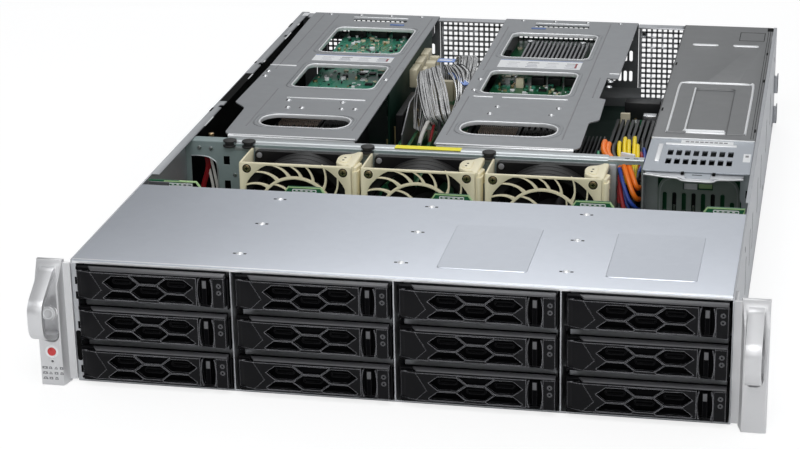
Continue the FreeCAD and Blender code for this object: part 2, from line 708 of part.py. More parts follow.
def make_fan_wall():
    """The sheet wall behind the fans, folded back along its top, open for each fan and for the wiring."""
    body = new_body("fan_wall_sheet")
    face = f"({FRONT} + wall_setback)"
    inner = f"({HALF} - wall)"
    pad(body, "YZ", f"-{inner}", "wall_right", outline(
        (face, "wall"), (f"{face} + wall", "wall"), (f"{face} + wall", f"{TOP} - wall"),
        (f"{face} + wall_flange", f"{TOP} - wall"), (f"{face} + wall_flange", TOP), (face, TOP, "0.9")))
    reach = "(fan_size / 2 - 2)"
    holes = [window(f"{fan_x(n)} - {reach}", f"fan_axis_height - {reach}", f"{fan_x(n)} + {reach}",
                    f"fan_axis_height + {reach} - 4", "8") for n in range(3)]
    arch = outline((f"-{inner} + 4", "10"), ("-191", "10"), ("-191", "68", "14"), ("-200", "78", "6"), (f"-{inner} + 4", "78", "4"))
    slots = [rectangle("-184", "58", "-178.5", "66"), rectangle("-183.5", "30", "-178", "40")]
    duct = window("117", "8", "wall_right - 3", "72", "2")
    pocket(body, "XZ", f"{face} - 1", f"{face} + wall", *holes, arch, *slots, duct)
    pad(body, "XY", "wall", "fan_axis_height - fan_size / 2", rectangle("-166", f"{face} - 40", "134", face))
    pad(body, "XY", "wall", "plug_low", rectangle("116.5", f"{face} - 34", "133.5", f"{face} - 22"))
    return node("fan_wall", body)


# ---------------------------------------------------------------- rack ears

def make_ear(side, name):
    """A rack ear with its sloped head, latch pocket and strap handle; side is -1 for the left one."""
    body = new_body(name + "_casting")
    face = f"({FRONT} - ear_face)"
    outer = f"({side} * ({HALF} + ear_width))"
    inner = f"({side} * ({HALF} + ear_taper))"
    root = f"({side} * ({HALF} + 4.5))"
    flank = f"({side} * ({HALF}))"
    pad(body, "XY", "0", "body_height", outline(
        (outer, FRONT, "0.6"), (outer, face, "1.2"), (inner, face, "0.8"), (root, FRONT)))
    low_x, high_x = (outer, root) if side < 0 else (root, outer)
    pocket(body, "YZ", f"{low_x} - 2", f"{high_x} + 2", outline(
        (f"{face} - 2", "body_height + 1"), (f"{face} - 2", "body_height - ear_slope"), (face, "body_height - ear_slope"),
        (f"{FRONT} - ear_top_depth", "body_height - 1.5"), (f"{FRONT} - ear_top_depth", "body_height + 1")))
    middle = f"({side} * {HOLE})"
    pocket(body, "XZ", f"{face} - 1", f"{FRONT} - pocket_floor",
           window(f"{middle} - 6", "pocket_low", f"{middle} + 6", "body_height - 6", "5"))
    pocket(body, "XZ", f"{FRONT} - pocket_floor - 1", FRONT, circle(middle, "rack_hole_height", "rack_hole / 2"))
    strap_low = f"{middle} - handle_width / 2"
    outer_reach = f"({face} - handle_reach)"
    inner_reach = f"({outer_reach} + handle_strap)"
    pad(body, "YZ", strap_low, f"{strap_low} + handle_width", outline(
        (f"{FRONT} - pocket_floor + 0.5", "body_height - 4"), (f"{FRONT} - pocket_floor + 0.5", "body_height - 7.5"),
        (f"{face} + 0.5", "body_height - 10"), (inner_reach, "64", "9"), (inner_reach, "47", "9"),
        (f"{face} - 4", "38.5", "8"), (f"{FRONT} - pocket_floor + 0.5", "37"), (f"{FRONT} - pocket_floor + 0.5", "34"),
        (f"{face} - 5", "35", "10"), (outer_reach, "45", "12"), (outer_reach, "67", "12"), (f"{face} - 1", "body_height - 5", "8")))
    low_x, high_x = (f"{flank} - 1.5", flank) if side < 0 else (flank, f"{flank} + 1.5")
    pad(body, "YZ", low_x, high_x, outline(
        (FRONT, "5"), (f"{FRONT} + 26", "5", "4"), (f"{FRONT} + 26", "83", "4"), (FRONT, "83")))
    low_x, high_x = (f"{root} - 1", flank) if side < 0 else (flank, f"{root} + 1")
    pad(body, "XZ", f"{FRONT} - 2", f"{FRONT}", rectangle(low_x, "2", high_x, "86"))
    return body


def make_ears():
    """Both ears; the left one also carries the power and identify buttons' holes."""
    left = make_ear(-1, "left_ear")
    middle = f"(-{HOLE})"
    pocket(left, "XZ", f"{FRONT} - ear_face - 1", f"{FRONT} - 2", circle(middle, "power_height", "power_radius + 0.1"),
           circle(middle, "power_height - 7", "0.9"))
    node("left_ear", left)
    node("right_ear", make_ear(1, "right_ear"))
    button = new_body("power_cap")
    pad(button, "XZ", f"{FRONT} - ear_face - 0.6", f"{FRONT} - 4", circle(middle, "power_height", "power_radius"))
    node("power_button", button)


# ---------------------------------------------------------------- boards

def comb(name, x0, x1, y0, y1, z0, z1, count, base):
    """A finned heat sink: a base plate with straight fins along Y."""
    body = new_body(name)
    left, right = value(x0), value(x1)
    step = (right - left) / count
    points = [(x0, z0), (x1, z0)]
    for number in reversed(range(count)):
        edge = left + number * step
        points.append((f"{edge + step * 0.55}", f"{z0} + {base}") if number < count - 1 else (x1, f"{z0} + {base}"))
        points.append((f"{edge + step * 0.55}", z1))
        points.append((f"{edge}", z1))
        points.append((f"{edge}", f"{z0} + {base}"))
    seen = [p for n, p in enumerate(points) if n == 0 or p != points[n - 1]]
    pad(body, "XZ", y0, y1, outline(*seen))
    return body


def make_motherboard():
    """The main board with its memory, heat sinks and rear ports, on standoffs."""
    low = "(wall + board_lift)"
    high = f"({low} + board)"
    body = new_body("main_board")
    pad(body, "XY", low, high, outline(
        ("-213", f"{FRONT} + 290"), ("133", f"{FRONT} + 290"), ("133", f"{FRONT} + 600"), ("96", f"{FRONT} + 600"),
        ("96", f"{REAR} - wall - 2"), ("-213", f"{REAR} - wall - 2")))
    posts = [circle(f"{x}", f"{FRONT} + {y}", "3") for x in (-205, -40, 125) for y in (300, 590)]
    pad(body, "XY", "wall", low, *posts)
    slots = [rectangle(f"{-80 + 8 * n}", f"{FRONT} + 300", f"{-74.5 + 8 * n}", f"{FRONT} + 440") for n in range(7)]
    pad(body, "XY", high, f"{high} + 6", *slots)
    modules = [rectangle(f"{-78 + 8 * n}", f"{FRONT} + 303", f"{-76.4 + 8 * n}", f"{FRONT} + 436") for n in range(7)]
    pad(body, "XY", f"{high} + 6", f"{high} + 36", *modules)
    ports = [rectangle("-194", f"{REAR} - 18", "-134", f"{REAR} - wall - 0.4"),
             rectangle("-116", f"{REAR} - 18", "-36", f"{REAR} - wall - 0.4")]
    pad(body, "XY", high, "riser_lift - 5", *ports)
    pad(body, "XY", high, "riser_seat", rectangle("-93", f"{FRONT} + 428", "-86", f"{FRONT} + 592"),
        rectangle("-26", f"{FRONT} + 428", "-19", f"{FRONT} + 592"))
    pad(body, "XY", high, "lead_start", rectangle("-74", f"{FRONT} + 464", "-32", f"{FRONT} + 492"))
    pad(body, "XY", high, "lead_end", rectangle("-74", f"{FRONT} + 524", "-32", f"{FRONT} + 546"))
    pad(body, "XY", high, "plug_top", rectangle("116.5", f"{FRONT} + 300", "133", f"{FRONT} + 312"))
    left = comb("left_sink", "-172", "-104", f"{FRONT} + 300", f"{FRONT} + 410", high, "70", 14, 8)
    right = comb("right_sink", "-14", "64", f"{FRONT} + 300", f"{FRONT} + 410", high, "70", 16, 8)
    side = comb("side_sink", "98", "131", f"{FRONT} + 350", f"{FRONT} + 440", high, "62", 8, 8)
    return node("motherboard", body, left, right, side)


def cage_windows(left, right, first, second, slot):
    """The rear window, front window and round slot of a riser cage."""
    shapes = []
    for low, high in (first, second):
        shapes.append(window(left, f"{FRONT} + {low}", right, f"{FRONT} + {high}", "9"))
    low, high = slot
    shapes.append(window(left, f"{FRONT} + {low}", right, f"{FRONT} + {high}", f"({high - low}) / 2 - 0.5"))
    return shapes


def make_cage(name, points, openings, handle, rear_left, rear_right):
    """A riser cage: the top sheet with its openings, the folded front and the slotted rear bracket."""
    body = new_body(name)
    pad(body, "XY", TOP, "body_height", outline(*points))
    pocket(body, "XY", TOP, "body_height", *openings, window(*handle, "1.5"))
    front_left, front_right = f"{points[0][0]} + 4", f"{points[1][0]} - 4"
    pad(body, "XZ", f"{FRONT} + riser_front", f"{FRONT} + riser_front + wall",
        rectangle(front_left, f"{TOP} - 5", front_right, TOP))
    pad(body, "XZ", f"{REAR} - wall", REAR, rectangle(rear_left, "riser_lift", rear_right, TOP))
    ports = [rectangle(f"{rear_left} + 10", f"riser_lift + {low}", f"{rear_right} - 34", f"riser_lift + {low + 12}")
             for low in (5, 24, 43)]
    pocket(body, "XZ", f"{REAR} - wall", REAR, *ports)
    return body


def make_riser_cards(name, board_x, card_left, card_right, cards, plug_left, plug_right):
    """The upright riser board of a cage, its slots, and the cards that lie in them."""
    body = new_body(name)
    pad(body, "YZ", board_x, f"{board_x} + board", outline(
        (f"{FRONT} + 430", "riser_seat"), (f"{FRONT} + 590", "riser_seat"), (f"{FRONT} + 590", "riser_lift + 8"),
        (f"{FRONT} + 612", "riser_lift + 8"), (f"{FRONT} + 612", TOP), (f"{FRONT} + 420", TOP),
        (f"{FRONT} + 420", "riser_lift + 8"), (f"{FRONT} + 430", "riser_lift + 8")))
    for height, start, end in cards:
        pad(body, "XY", f"{height} - 4", f"{height} + 4 + board",
            rectangle(plug_left, f"{FRONT} + {start} + 12", plug_right, f"{FRONT} + {start} + 101"))
        pad(body, "XY", f"{height}", f"{height} + board",
            rectangle(card_left, f"{FRONT} + {start}", card_right, f"{FRONT} + {end}"))
    return body


def make_risers():
    """The two riser cages over the main board."""
    front = f"{FRONT} + riser_front"
    left_sheet = make_cage(
        "left_cage",
        [("-191", front, "8"), ("-85", front, "1"), ("-88", f"{REAR} - 0.5"), ("-205.5", f"{REAR} - 0.5", "1"),
         ("-203", f"{FRONT} + 471"), ("-204.5", f"{FRONT} + 361", "2"), ("-192.5", f"{FRONT} + 347", "3")],
        cage_windows("-172", "-101", (518, 600), (411, 479), (303, 334)),
        ("-164", f"{FRONT} + 622", "-115", f"{FRONT} + 629"), "-205.5", "-88")
    left_cards = make_riser_cards("left_cards", "-90.5", "-188", "-98.5", ((70, 505, 640), (50, 440, 600)), "-98.5", "-90.5")
    node("left_riser", left_sheet, left_cards)
    right_sheet = make_cage(
        "right_cage",
        [("-25", front, "1"), ("86", front, "8"), ("86", f"{FRONT} + 346", "2"), ("93", f"{FRONT} + 353", "2"),
         ("91.5", f"{FRONT} + 409"), ("86.5", f"{FRONT} + 412"), ("86.5", f"{FRONT} + 469"), ("95", f"{FRONT} + 469"),
         ("94.5", f"{REAR} - 0.5", "1"), ("-25", f"{REAR} - 0.5")],
        cage_windows("-12", "62", (522, 601), (414, 480), (305, 338)),
        ("3.5", f"{FRONT} + 623", "52", f"{FRONT} + 630"), "-25", "95")
    right_cards = make_riser_cards("right_cards", "-23", "-13.4", "80", ((68, 500, 640), (48, 425, 600)), "-21.4", "-13.4")
    sink = comb("card_sink", "0", "56", f"{FRONT} + 524", f"{FRONT} + 598", "68 + board", "83", 14, 3)
    node("right_riser", right_sheet, right_cards, sink)


# ---------------------------------------------------------------- power supplies

def make_supply_cover():
    """The housing over the supplies: embossed top, left wall, vented front cover and slotted bracket."""
    body = new_body("supply_sheet")
    right = f"({HALF} - right_flange - 0.2)"
    back = f"({FRONT} + bay_top_front)"
    nose = f"({FRONT} + bay_front)"
    pad(body, "XZ", back, f"{REAR} - wall", outline(
        ("bay_left", "wall"), ("bay_left + wall", "wall"), ("bay_left + wall", TOP), (right, TOP), (right, "body_height"),
        ("bay_left", "body_height", "1")))
    pad(body, "XZ", f"{back} + 1", f"{REAR} - wall - 0.4",
        rectangle("bay_left + 0.5", f"wall + {SUPPLY}", "supply_left + supply_width", f"wall + {SUPPLY} + supply_gap"))
    pad(body, "YZ", "bay_left", "bay_left + wall", rectangle(nose, "wall", f"{back} + 1", f"{TOP} - 0.6"))
    pad(body, "XY", f"{TOP} - wall", TOP, outline(
        ("bay_left", nose), ("165", nose), ("167", f"{nose} - 15"), ("189", f"{nose} - 15"), ("191", nose),
        (right, nose), (right, f"{back} + 1"), ("bay_left", f"{back} + 1")))
    pad(body, "XY", "body_height - 0.3", "body_height + 0.9", outline(
        ("147", f"{back} + 2"), ("161", f"{back} + 2"), ("161", f"{FRONT} + 449", "4"), ("192", f"{FRONT} + 449", "4"),
        ("192", f"{back} + 2"), ("207.5", f"{back} + 2"), ("207.5", f"{FRONT} + 465", "8"), ("147", f"{FRONT} + 465", "8")))
    for left in (148.5, 183.2):
        pad(body, "XY", "body_height - 0.3", "body_height + 0.8",
            window(f"{left}", f"{FRONT} + 578.5", f"{left + 22.5}", f"{FRONT} + 583.5", "2.2"))
    pocket(body, "XY", f"{TOP} - wall", TOP, grid("153.5", f"{FRONT} + 268.5", 8, 2, "6.6", "4.6"))
    pad(body, "XZ", f"{nose} + 18", f"{nose} + 18 + wall", outline(
        ("147", "wall"), ("208", "wall"), ("208", "70", "8"), ("198", "77", "4"), ("157", "77", "4"), ("147", "70", "8")))
    slots = [rectangle(f"{151 + 7 * n}", "34", f"{155 + 7 * n}", "66") for n in range(8)]
    pocket(body, "XZ", f"{nose} + 18", f"{nose} + 18 + wall", *slots, rectangle("167", "70", "189", "75"))
    pad(body, "YZ", "bay_left + wall", "147.2", rectangle(f"{nose} + 18", "wall", f"{nose} + 18 + wall", "60"))
    return node("supply_cover", body)


def make_power_board():
    """The board that shares out the supplies' power, upright behind the slotted bracket."""
    body = new_body("share_board")
    face = f"({FRONT} + bay_front + 30)"
    pad(body, "XZ", face, f"{face} + board", rectangle("bay_left + wall", "wall", "212", f"{TOP} - 6.8"))
    blocks = [rectangle("150", "14", "204", "30"), rectangle("150", "54", "204", "70")]
    pad(body, "XZ", f"{face} + board", f"{FRONT} + bay_top_front + 4", *blocks)
    return node("power_board", body)


def make_supply(number, base):
    """One power supply: its case, inlet, fan mouth and pull handle."""
    left = "supply_left"
    right = "(supply_left + supply_width)"
    rear = f"({REAR} + 1)"
    top = f"({base} + {SUPPLY})"
    body = new_body(f"supply_case_{number}")
    pad(body, "XZ", f"{rear} - supply_length", rear, rectangle(left, base, right, top))
    pocket(body, "XZ", f"{rear} - 12", rear,
           rectangle(f"{left} + 5", f"{base} + 8", f"{left} + 27", f"{base} + 26"),
           circle(f"{right} - 25", f"{base} + {SUPPLY} / 2", "16"))
    pad(body, "XZ", f"{rear} - 12", f"{rear} - 1", circle(f"{right} - 25", f"{base} + {SUPPLY} / 2", "8"))
    pad(body, "YZ", f"{left} + 29", f"{left} + 34", outline(
        (f"{rear} - 0.5", f"{base} + 5"), (f"{rear} + 16", f"{base} + 5", "6"), (f"{rear} + 16", f"{top} - 5", "6"),
        (f"{rear} - 0.5", f"{top} - 5"), (f"{rear} - 0.5", f"{top} - 8.2"), (f"{rear} + 12.8", f"{top} - 8.2"),
        (f"{rear} + 12.8", f"{base} + 8.2"), (f"{rear} - 0.5", f"{base} + 8.2")))
    pocket(body, "XZ", f"{rear} - 10", rear,
           rectangle(f"{right} - 7.6", f"{base} + 9", f"{right} - 1.6", f"{top} - 9"))
    pin = (f"{right} - 3.5", f"{rear} - latch_pivot")
    pocket(body, "XY", f"{base} + 7.4", f"{top} - 7.4", circle(*pin, "latch_pin + pin_fit"))
    node(f"power_supply_{number}", body)
    latch = new_body(f"supply_latch_arm_{number}")
    pad(latch, "XY", f"{base} + 9.4", f"{top} - 9.4", outline(
        (f"{right} - 4.8", f"{rear} - 9"), (f"{right} - 2.2", f"{rear} - 9"), (f"{right} - 2.2", f"{rear} + 9"),
        (f"{right} - 8", f"{rear} + 12"), (f"{right} - 8.6", f"{rear} + 10"), (f"{right} - 4.8", f"{rear} + 7")))
    pad(latch, "XY", f"{base} + 7.8", f"{top} - 7.8", circle(*pin, "latch_pin"))
    node(f"supply_latch_{number}", latch)


# ---------------------------------------------------------------- wiring

def tube(name, radius, points):
    """A six-sided cable along straight runs joined by tangent arcs, bending about X."""
    spots = [FreeCAD.Vector(x, y + value(FRONT), z) for x, y, z in points]
    edges = []
    start = spots[0]
    radii = []
    for n in range(1, len(spots) - 1):
        before = (spots[n - 1] - spots[n])
        after = (spots[n + 1] - spots[n])
        half = before.getAngle(after) / 2
        shorter = min(before.Length, after.Length)
        reach = 0.45 * shorter
        radii.append(reach * math.tan(half))
        before.normalize()
        after.normalize()
        enter, leave = spots[n] + before * reach, spots[n] + after * reach
        middle = spots[n] + (before + after).normalize() * (radii[-1] / math.sin(half))
        bend = middle + (spots[n] - middle).normalize() * radii[-1]
        edges.append(Part.LineSegment(start, enter).toShape())
        edges.append(Part.Arc(enter, bend, leave).toShape())
        start = leave
    edges.append(Part.LineSegment(start, spots[-1]).toShape())
    path = Part.Wire(edges)
    along = (spots[1] - spots[0]).normalize()
    side = FreeCAD.Vector(1, 0, 0) * radius
    turns = [FreeCAD.Rotation(along, 60 * corner) for corner in range(7)]
    section = Part.makePolygon([spots[0] + turn.multVec(side) for turn in turns])
    item = doc.addObject("Part::Feature", name)
    item.Shape = path.makePipeShell([section], True, False)
    filled = item.Shape.Volume / (Part.Face(section).Area * path.Length)
    print(name, "length", round(path.Length, 1), "volume ratio", round(filled, 4), "radii", [round(r, 1) for r in radii])
    return item


def ribbon(name, left, right, thick, points):
    """A flat lead of constant width whose path bends only in the YZ plane."""
    body = new_body(name)
    middle = [FreeCAD.Vector(y, z, 0) for y, z in points]
    sides = ([], [])
    for n, spot in enumerate(middle):
        before = (spot - middle[n - 1]).normalize() if n else (middle[1] - spot).normalize()
        after = (middle[n + 1] - spot).normalize() if n < len(middle) - 1 else before
        along = (before + after).normalize()
        across = FreeCAD.Vector(-along.y, along.x, 0) * (thick / 2 / math.cos(before.getAngle(after) / 2))
        for side, sign in zip(sides, (1, -1)):
            inner = 0 if n in (0, len(middle) - 1) else 5
            side.append((f"{FRONT} + {spot.x + sign * across.x}", f"{spot.y + sign * across.y}", f"{inner}"))
    pad(body, "YZ", left, right, outline(*(sides[0] + sides[1][::-1])))
    return body


def make_cables():
    """The ribbon leads between the risers and the power leads beside the fans."""
    leads = []
    for n in range(3):
        left = -72 + 13 * n
        leads.append(ribbon(f"ribbon_lead_{n + 1}", f"{left}", f"{left + 11}", 3.0, [
            (470 + 6 * n, value("lead_start")), (470 + 6 * n, 62), (484 + 6 * n, 80), (510 + 5 * n, 82),
            (530 + 3 * n, 68), (530 + 3 * n, value("lead_end"))]))
    for n in range(3):
        x = 120.0 + 5 * n
        leads.append(tube(f"power_lead_{n + 1}", 2.1, [
            (x, 235, value("plug_low")), (x, 235, 36), (x, 251, 56), (x, 280, 60), (x, 306, 52),
            (x, 306, value("plug_top"))]))
    return node("cables", *leads)


# ---------------------------------------------------------------- build

make_chassis()
make_rear_panel()
make_drive_cover()
make_drives()
make_backplane()
make_fans()
make_fan_wall()
make_ears()
make_motherboard()
make_risers()
make_supply_cover()
make_power_board()
make_supply(1, "wall")
make_supply(2, f"(wall + {SUPPLY} + supply_gap)")
make_cables()
doc.recompute()

for item in doc.Objects:
    if "Invalid" in item.State or "Error" in item.State:
        raise RuntimeError(f"{item.Name} ({item.Label}) did not build: {item.State}")
os.makedirs("parts", exist_ok=True)
for name, item in NODES.items():
    shape = item.Shape
    if shape.isNull() or not shape.isValid() or not shape.Solids:
        raise RuntimeError(f"{name} has no valid solid")
    shape.exportStep(f"parts/{name}.step")
print(len(NODES), "nodes")
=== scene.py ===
import math
import random

import bmesh
import bpy
from mathutils import Matrix, Vector


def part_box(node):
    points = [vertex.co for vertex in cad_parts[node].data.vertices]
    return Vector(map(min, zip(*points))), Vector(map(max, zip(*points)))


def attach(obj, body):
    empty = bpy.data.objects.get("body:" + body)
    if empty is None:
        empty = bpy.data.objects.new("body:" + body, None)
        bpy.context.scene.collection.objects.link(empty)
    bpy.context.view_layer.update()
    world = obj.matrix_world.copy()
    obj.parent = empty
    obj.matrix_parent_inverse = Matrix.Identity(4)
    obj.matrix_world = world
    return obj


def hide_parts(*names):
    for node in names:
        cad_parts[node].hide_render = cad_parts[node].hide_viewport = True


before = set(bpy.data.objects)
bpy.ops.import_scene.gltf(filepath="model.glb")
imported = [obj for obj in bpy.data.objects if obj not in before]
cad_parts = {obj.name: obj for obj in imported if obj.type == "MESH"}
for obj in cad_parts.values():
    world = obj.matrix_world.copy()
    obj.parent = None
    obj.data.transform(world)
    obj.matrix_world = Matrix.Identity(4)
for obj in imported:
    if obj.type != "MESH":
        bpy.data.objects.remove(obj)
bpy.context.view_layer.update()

# All the working figures below are in millimetres in the model's own frame:
# X to the right, Y to the rear, Z up. The finished meshes are scaled to metres.
CHASSIS_LOW, CHASSIS_HIGH = (corner * 1000 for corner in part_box("chassis_base"))
FRONT = CHASSIS_LOW.y
REAR = CHASSIS_HIGH.y
TOP = CHASSIS_HIGH.z
WALL = 1.2
LID = TOP - WALL
INNER = 217.3
BAY_PITCH = 109.0
ROW_PITCH = 28.6
ROW_BASE = 2.0
FAN_PITCH = 93.5
FAN_MIDDLES = (-120.5, -27.0, 66.5)
CAGE_FRONT = 275.9

# A distance beyond the model in every direction, for zones that are open on a side.
FAR = 1000.0


# ---------------------------------------------------------------- shared shader groups

def new_group(name, inputs, outputs):
    """A shader node group with named sockets, ready for its nodes."""
    group = bpy.data.node_groups.new(name, "ShaderNodeTree")
    for socket_name, kind, default in inputs:
        socket = group.interface.new_socket(name=socket_name, in_out="INPUT", socket_type=kind)
        if default is not None:
            socket.default_value = default
    for socket_name, kind in outputs:
        group.interface.new_socket(name=socket_name, in_out="OUTPUT", socket_type=kind)
    start = group.nodes.new("NodeGroupInput")
    end = group.nodes.new("NodeGroupOutput")
    return group, start, end


def math_node(tree, operation, first, second=None, clamp=False):
    """A Math node fed by sockets or by plain numbers."""
    item = tree.nodes.new("ShaderNodeMath")
    item.operation = operation
    item.use_clamp = clamp
    for index, source in enumerate((first, second)):
        if source is None:
            continue
        if isinstance(source, (int, float)):
            item.inputs[index].default_value = source
        else:
            tree.links.new(source, item.inputs[index])
    return item.outputs[0]


def noise_node(tree, vector, scale, detail=3.0, roughness=0.55):
    """A noise texture whose scale is a socket or a number."""
    item = tree.nodes.new("ShaderNodeTexNoise")
    item.inputs["Detail"].default_value = detail
    item.inputs["Roughness"].default_value = roughness
    tree.links.new(vector, item.inputs["Vector"])
    if isinstance(scale, (int, float)):
        item.inputs["Scale"].default_value = scale
    else:
        tree.links.new(scale, item.inputs["Scale"])
    return item.outputs["Fac"]


def build_grain_group():
    """Fine drawn or moulded grain: stretched noise over a broad, slow change of tone."""
    group, start, end = new_group("surface_grain", [
        ("Vector", "NodeSocketVector", None), ("Stretch", "NodeSocketVector", (1.0, 1.0, 1.0)),
        ("Fine Scale", "NodeSocketFloat", 900.0), ("Broad Scale", "NodeSocketFloat", 9.0)],
        [("Fine", "NodeSocketFloat"), ("Broad", "NodeSocketFloat"), ("Both", "NodeSocketFloat")])
    stretch = group.nodes.new("ShaderNodeVectorMath")
    stretch.operation = "MULTIPLY"
    group.links.new(start.outputs["Vector"], stretch.inputs[0])
    group.links.new(start.outputs["Stretch"], stretch.inputs[1])
    fine = noise_node(group, stretch.outputs[0], start.outputs["Fine Scale"])
    broad = noise_node(group, start.outputs["Vector"], start.outputs["Broad Scale"], 4.0, 0.6)
    both = math_node(group, "ADD", math_node(group, "MULTIPLY", fine, 0.45),
                     math_node(group, "MULTIPLY", broad, 0.55))
    group.links.new(fine, end.inputs["Fine"])
    group.links.new(broad, end.inputs["Broad"])
    group.links.new(both, end.inputs["Both"])
    return group


def build_spangle_group():
    """The faint crystal patches of zinc-plated sheet."""
    group, start, end = new_group("zinc_spangle",
                                  [("Vector", "NodeSocketVector", None),
                                   ("Scale", "NodeSocketFloat", 160.0)], [("Patch", "NodeSocketFloat")])
    cells = group.nodes.new("ShaderNodeTexVoronoi")
    group.links.new(start.outputs["Vector"], cells.inputs["Vector"])
    group.links.new(start.outputs["Scale"], cells.inputs["Scale"])
    tone = group.nodes.new("ShaderNodeSeparateColor")
    group.links.new(cells.outputs["Color"], tone.inputs["Color"])
    group.links.new(tone.outputs["Red"], end.inputs["Patch"])
    return group


def build_edge_wear_and_highlight_group():
    """Where an edge is proud enough to be rubbed: the rounded normal against the true one. The same mask
    paints a highlight along the edge.
    """
    group, start, end = new_group("edge_wear_and_painted_highlight",
                                  [("Vector", "NodeSocketVector", None),
                                   ("Breakup", "NodeSocketFloat", 260.0)], [("Mask", "NodeSocketFloat")])
    soft = group.nodes.new("ShaderNodeBevel")
    soft.samples = 4
    soft.inputs["Radius"].default_value = 0.0009
    plain = group.nodes.new("ShaderNodeNewGeometry")
    dot = group.nodes.new("ShaderNodeVectorMath")
    dot.operation = "DOT_PRODUCT"
    group.links.new(soft.outputs[0], dot.inputs[0])
    group.links.new(plain.outputs["Normal"], dot.inputs[1])
    turn = math_node(group, "SUBTRACT", 1.0, dot.outputs["Value"])
    lift = math_node(group, "MULTIPLY", turn, 5.0)
    speck = noise_node(group, start.outputs["Vector"], start.outputs["Breakup"], 5.0, 0.7)
    mask = math_node(group, "MULTIPLY", lift, math_node(group, "ADD", speck, 0.25), clamp=True)
    group.links.new(mask, end.inputs["Mask"])
    return group


def build_dust_and_sheen_group():
    """A thin dusting that settles on what faces up; on dark parts the same film paints a sheen on their tops.
    """
    group, start, end = new_group("settled_dust_and_sheen",
                                  [("Vector", "NodeSocketVector", None),
                                   ("Amount", "NodeSocketFloat", 0.2)], [("Mask", "NodeSocketFloat")])
    normal = group.nodes.new("ShaderNodeNewGeometry")
    split = group.nodes.new("ShaderNodeSeparateXYZ")
    group.links.new(normal.outputs["Normal"], split.inputs[0])
    cloud = noise_node(group, start.outputs["Vector"], 38.0, 6.0, 0.65)
    up = math_node(group, "MULTIPLY", split.outputs["Z"], cloud, clamp=True)
    group.links.new(math_node(group, "MULTIPLY", up, start.outputs["Amount"], clamp=True), end.inputs["Mask"])
    return group


GRAIN = build_grain_group()
SPANGLE = build_spangle_group()
EDGE_WEAR_AND_HIGHLIGHT = build_edge_wear_and_highlight_group()
DUST_AND_SHEEN_GROUP = build_dust_and_sheen_group()


# ---------------------------------------------------------------- finishes

def place_group(tree, group, coordinates, **values):
    """One use of a shared group in a material, with that material's values."""
    item = tree.nodes.new("ShaderNodeGroup")
    item.node_tree = group
    tree.links.new(coordinates, item.inputs["Vector"])
    for name, value in values.items():
        item.inputs[name.replace("_", " ")].default_value = value
    return item


def mixed(tree, factor, first, second):
    """A colour mixed by a mask, from colours or sockets."""
    item = tree.nodes.new("ShaderNodeMix")
    item.data_type = "RGBA"
    tree.links.new(factor, item.inputs["Factor"])
    for socket, source in ((item.inputs[6], first), (item.inputs[7], second)):
        if isinstance(source, tuple):
            socket.default_value = (*source, 1.0)
        else:
            tree.links.new(source, socket)
    return item.outputs[2]


def shade(colour, factor):
    """A colour made lighter or darker."""
    return tuple(min(1.0, c * factor) for c in colour)


def finish(name, colour, metallic=0.0, roughness=0.45, tone=0.12, stretch=(1.0, 1.0, 1.0), fine=900.0,
           broad=9.0, bump=0.03, rough_change=0.12, spangle=0.0, wear_and_highlight=None, dust_and_sheen=0.0, coat=0.0,
           specular=0.5):
    """A material with tone changes and grain in its gloss and relief, and optional spangle, worn edges that
    also paint an edge highlight, and a settled dusting that also paints a sheen on what faces up.
    """
    material = bpy.data.materials.new(name)
    material.use_nodes = True
    tree = material.node_tree
    shader = tree.nodes["Principled BSDF"]
    shader.inputs["Metallic"].default_value = metallic
    shader.inputs["Specular IOR Level"].default_value = specular
    if coat:
        shader.inputs["Coat Weight"].default_value = coat
        shader.inputs["Coat Roughness"].default_value = 0.12
    coordinates = tree.nodes.new("ShaderNodeTexCoord").outputs["Object"]
    grain = place_group(tree, GRAIN, coordinates, Stretch=stretch, Fine_Scale=fine, Broad_Scale=broad)
    paint = mixed(tree, grain.outputs["Both"], shade(colour, 1 - tone), shade(colour, 1 + tone))
    if spangle:
        patches = place_group(tree, SPANGLE, coordinates, Scale=150.0)
        amount = math_node(tree, "MULTIPLY", patches.outputs["Patch"], spangle)
        paint = mixed(tree, amount, paint, shade(colour, 1.45))
    # Worn edges: the lighter edge colour is rubbing and also a painted highlight.
    if wear_and_highlight:
        edge_wear_and_highlight_node = place_group(tree, EDGE_WEAR_AND_HIGHLIGHT, coordinates)
        paint = mixed(tree, edge_wear_and_highlight_node.outputs["Mask"], paint, wear_and_highlight)
    # A pale film on what faces up: settled dusting, and on dark parts a painted sheen.
    if dust_and_sheen:
        dust_and_sheen_film = place_group(tree, DUST_AND_SHEEN_GROUP, coordinates, Amount=dust_and_sheen)
        paint = mixed(tree, dust_and_sheen_film.outputs["Mask"], paint, (0.55, 0.54, 0.52))
    tree.links.new(paint, shader.inputs["Base Color"])
    swing = math_node(tree, "MULTIPLY", math_node(tree, "SUBTRACT", grain.outputs["Both"], 0.5),
                      2 * rough_change)
    rough = math_node(tree, "ADD", swing, roughness, clamp=True)
    tree.links.new(rough, shader.inputs["Roughness"])
    if bump:
        relief = tree.nodes.new("ShaderNodeBump")
        relief.inputs["Strength"].default_value = bump
        relief.inputs["Distance"].default_value = 0.0002
        tree.links.new(grain.outputs["Fine"], relief.inputs["Height"])
        tree.links.new(relief.outputs[0], shader.inputs["Normal"])
    return material


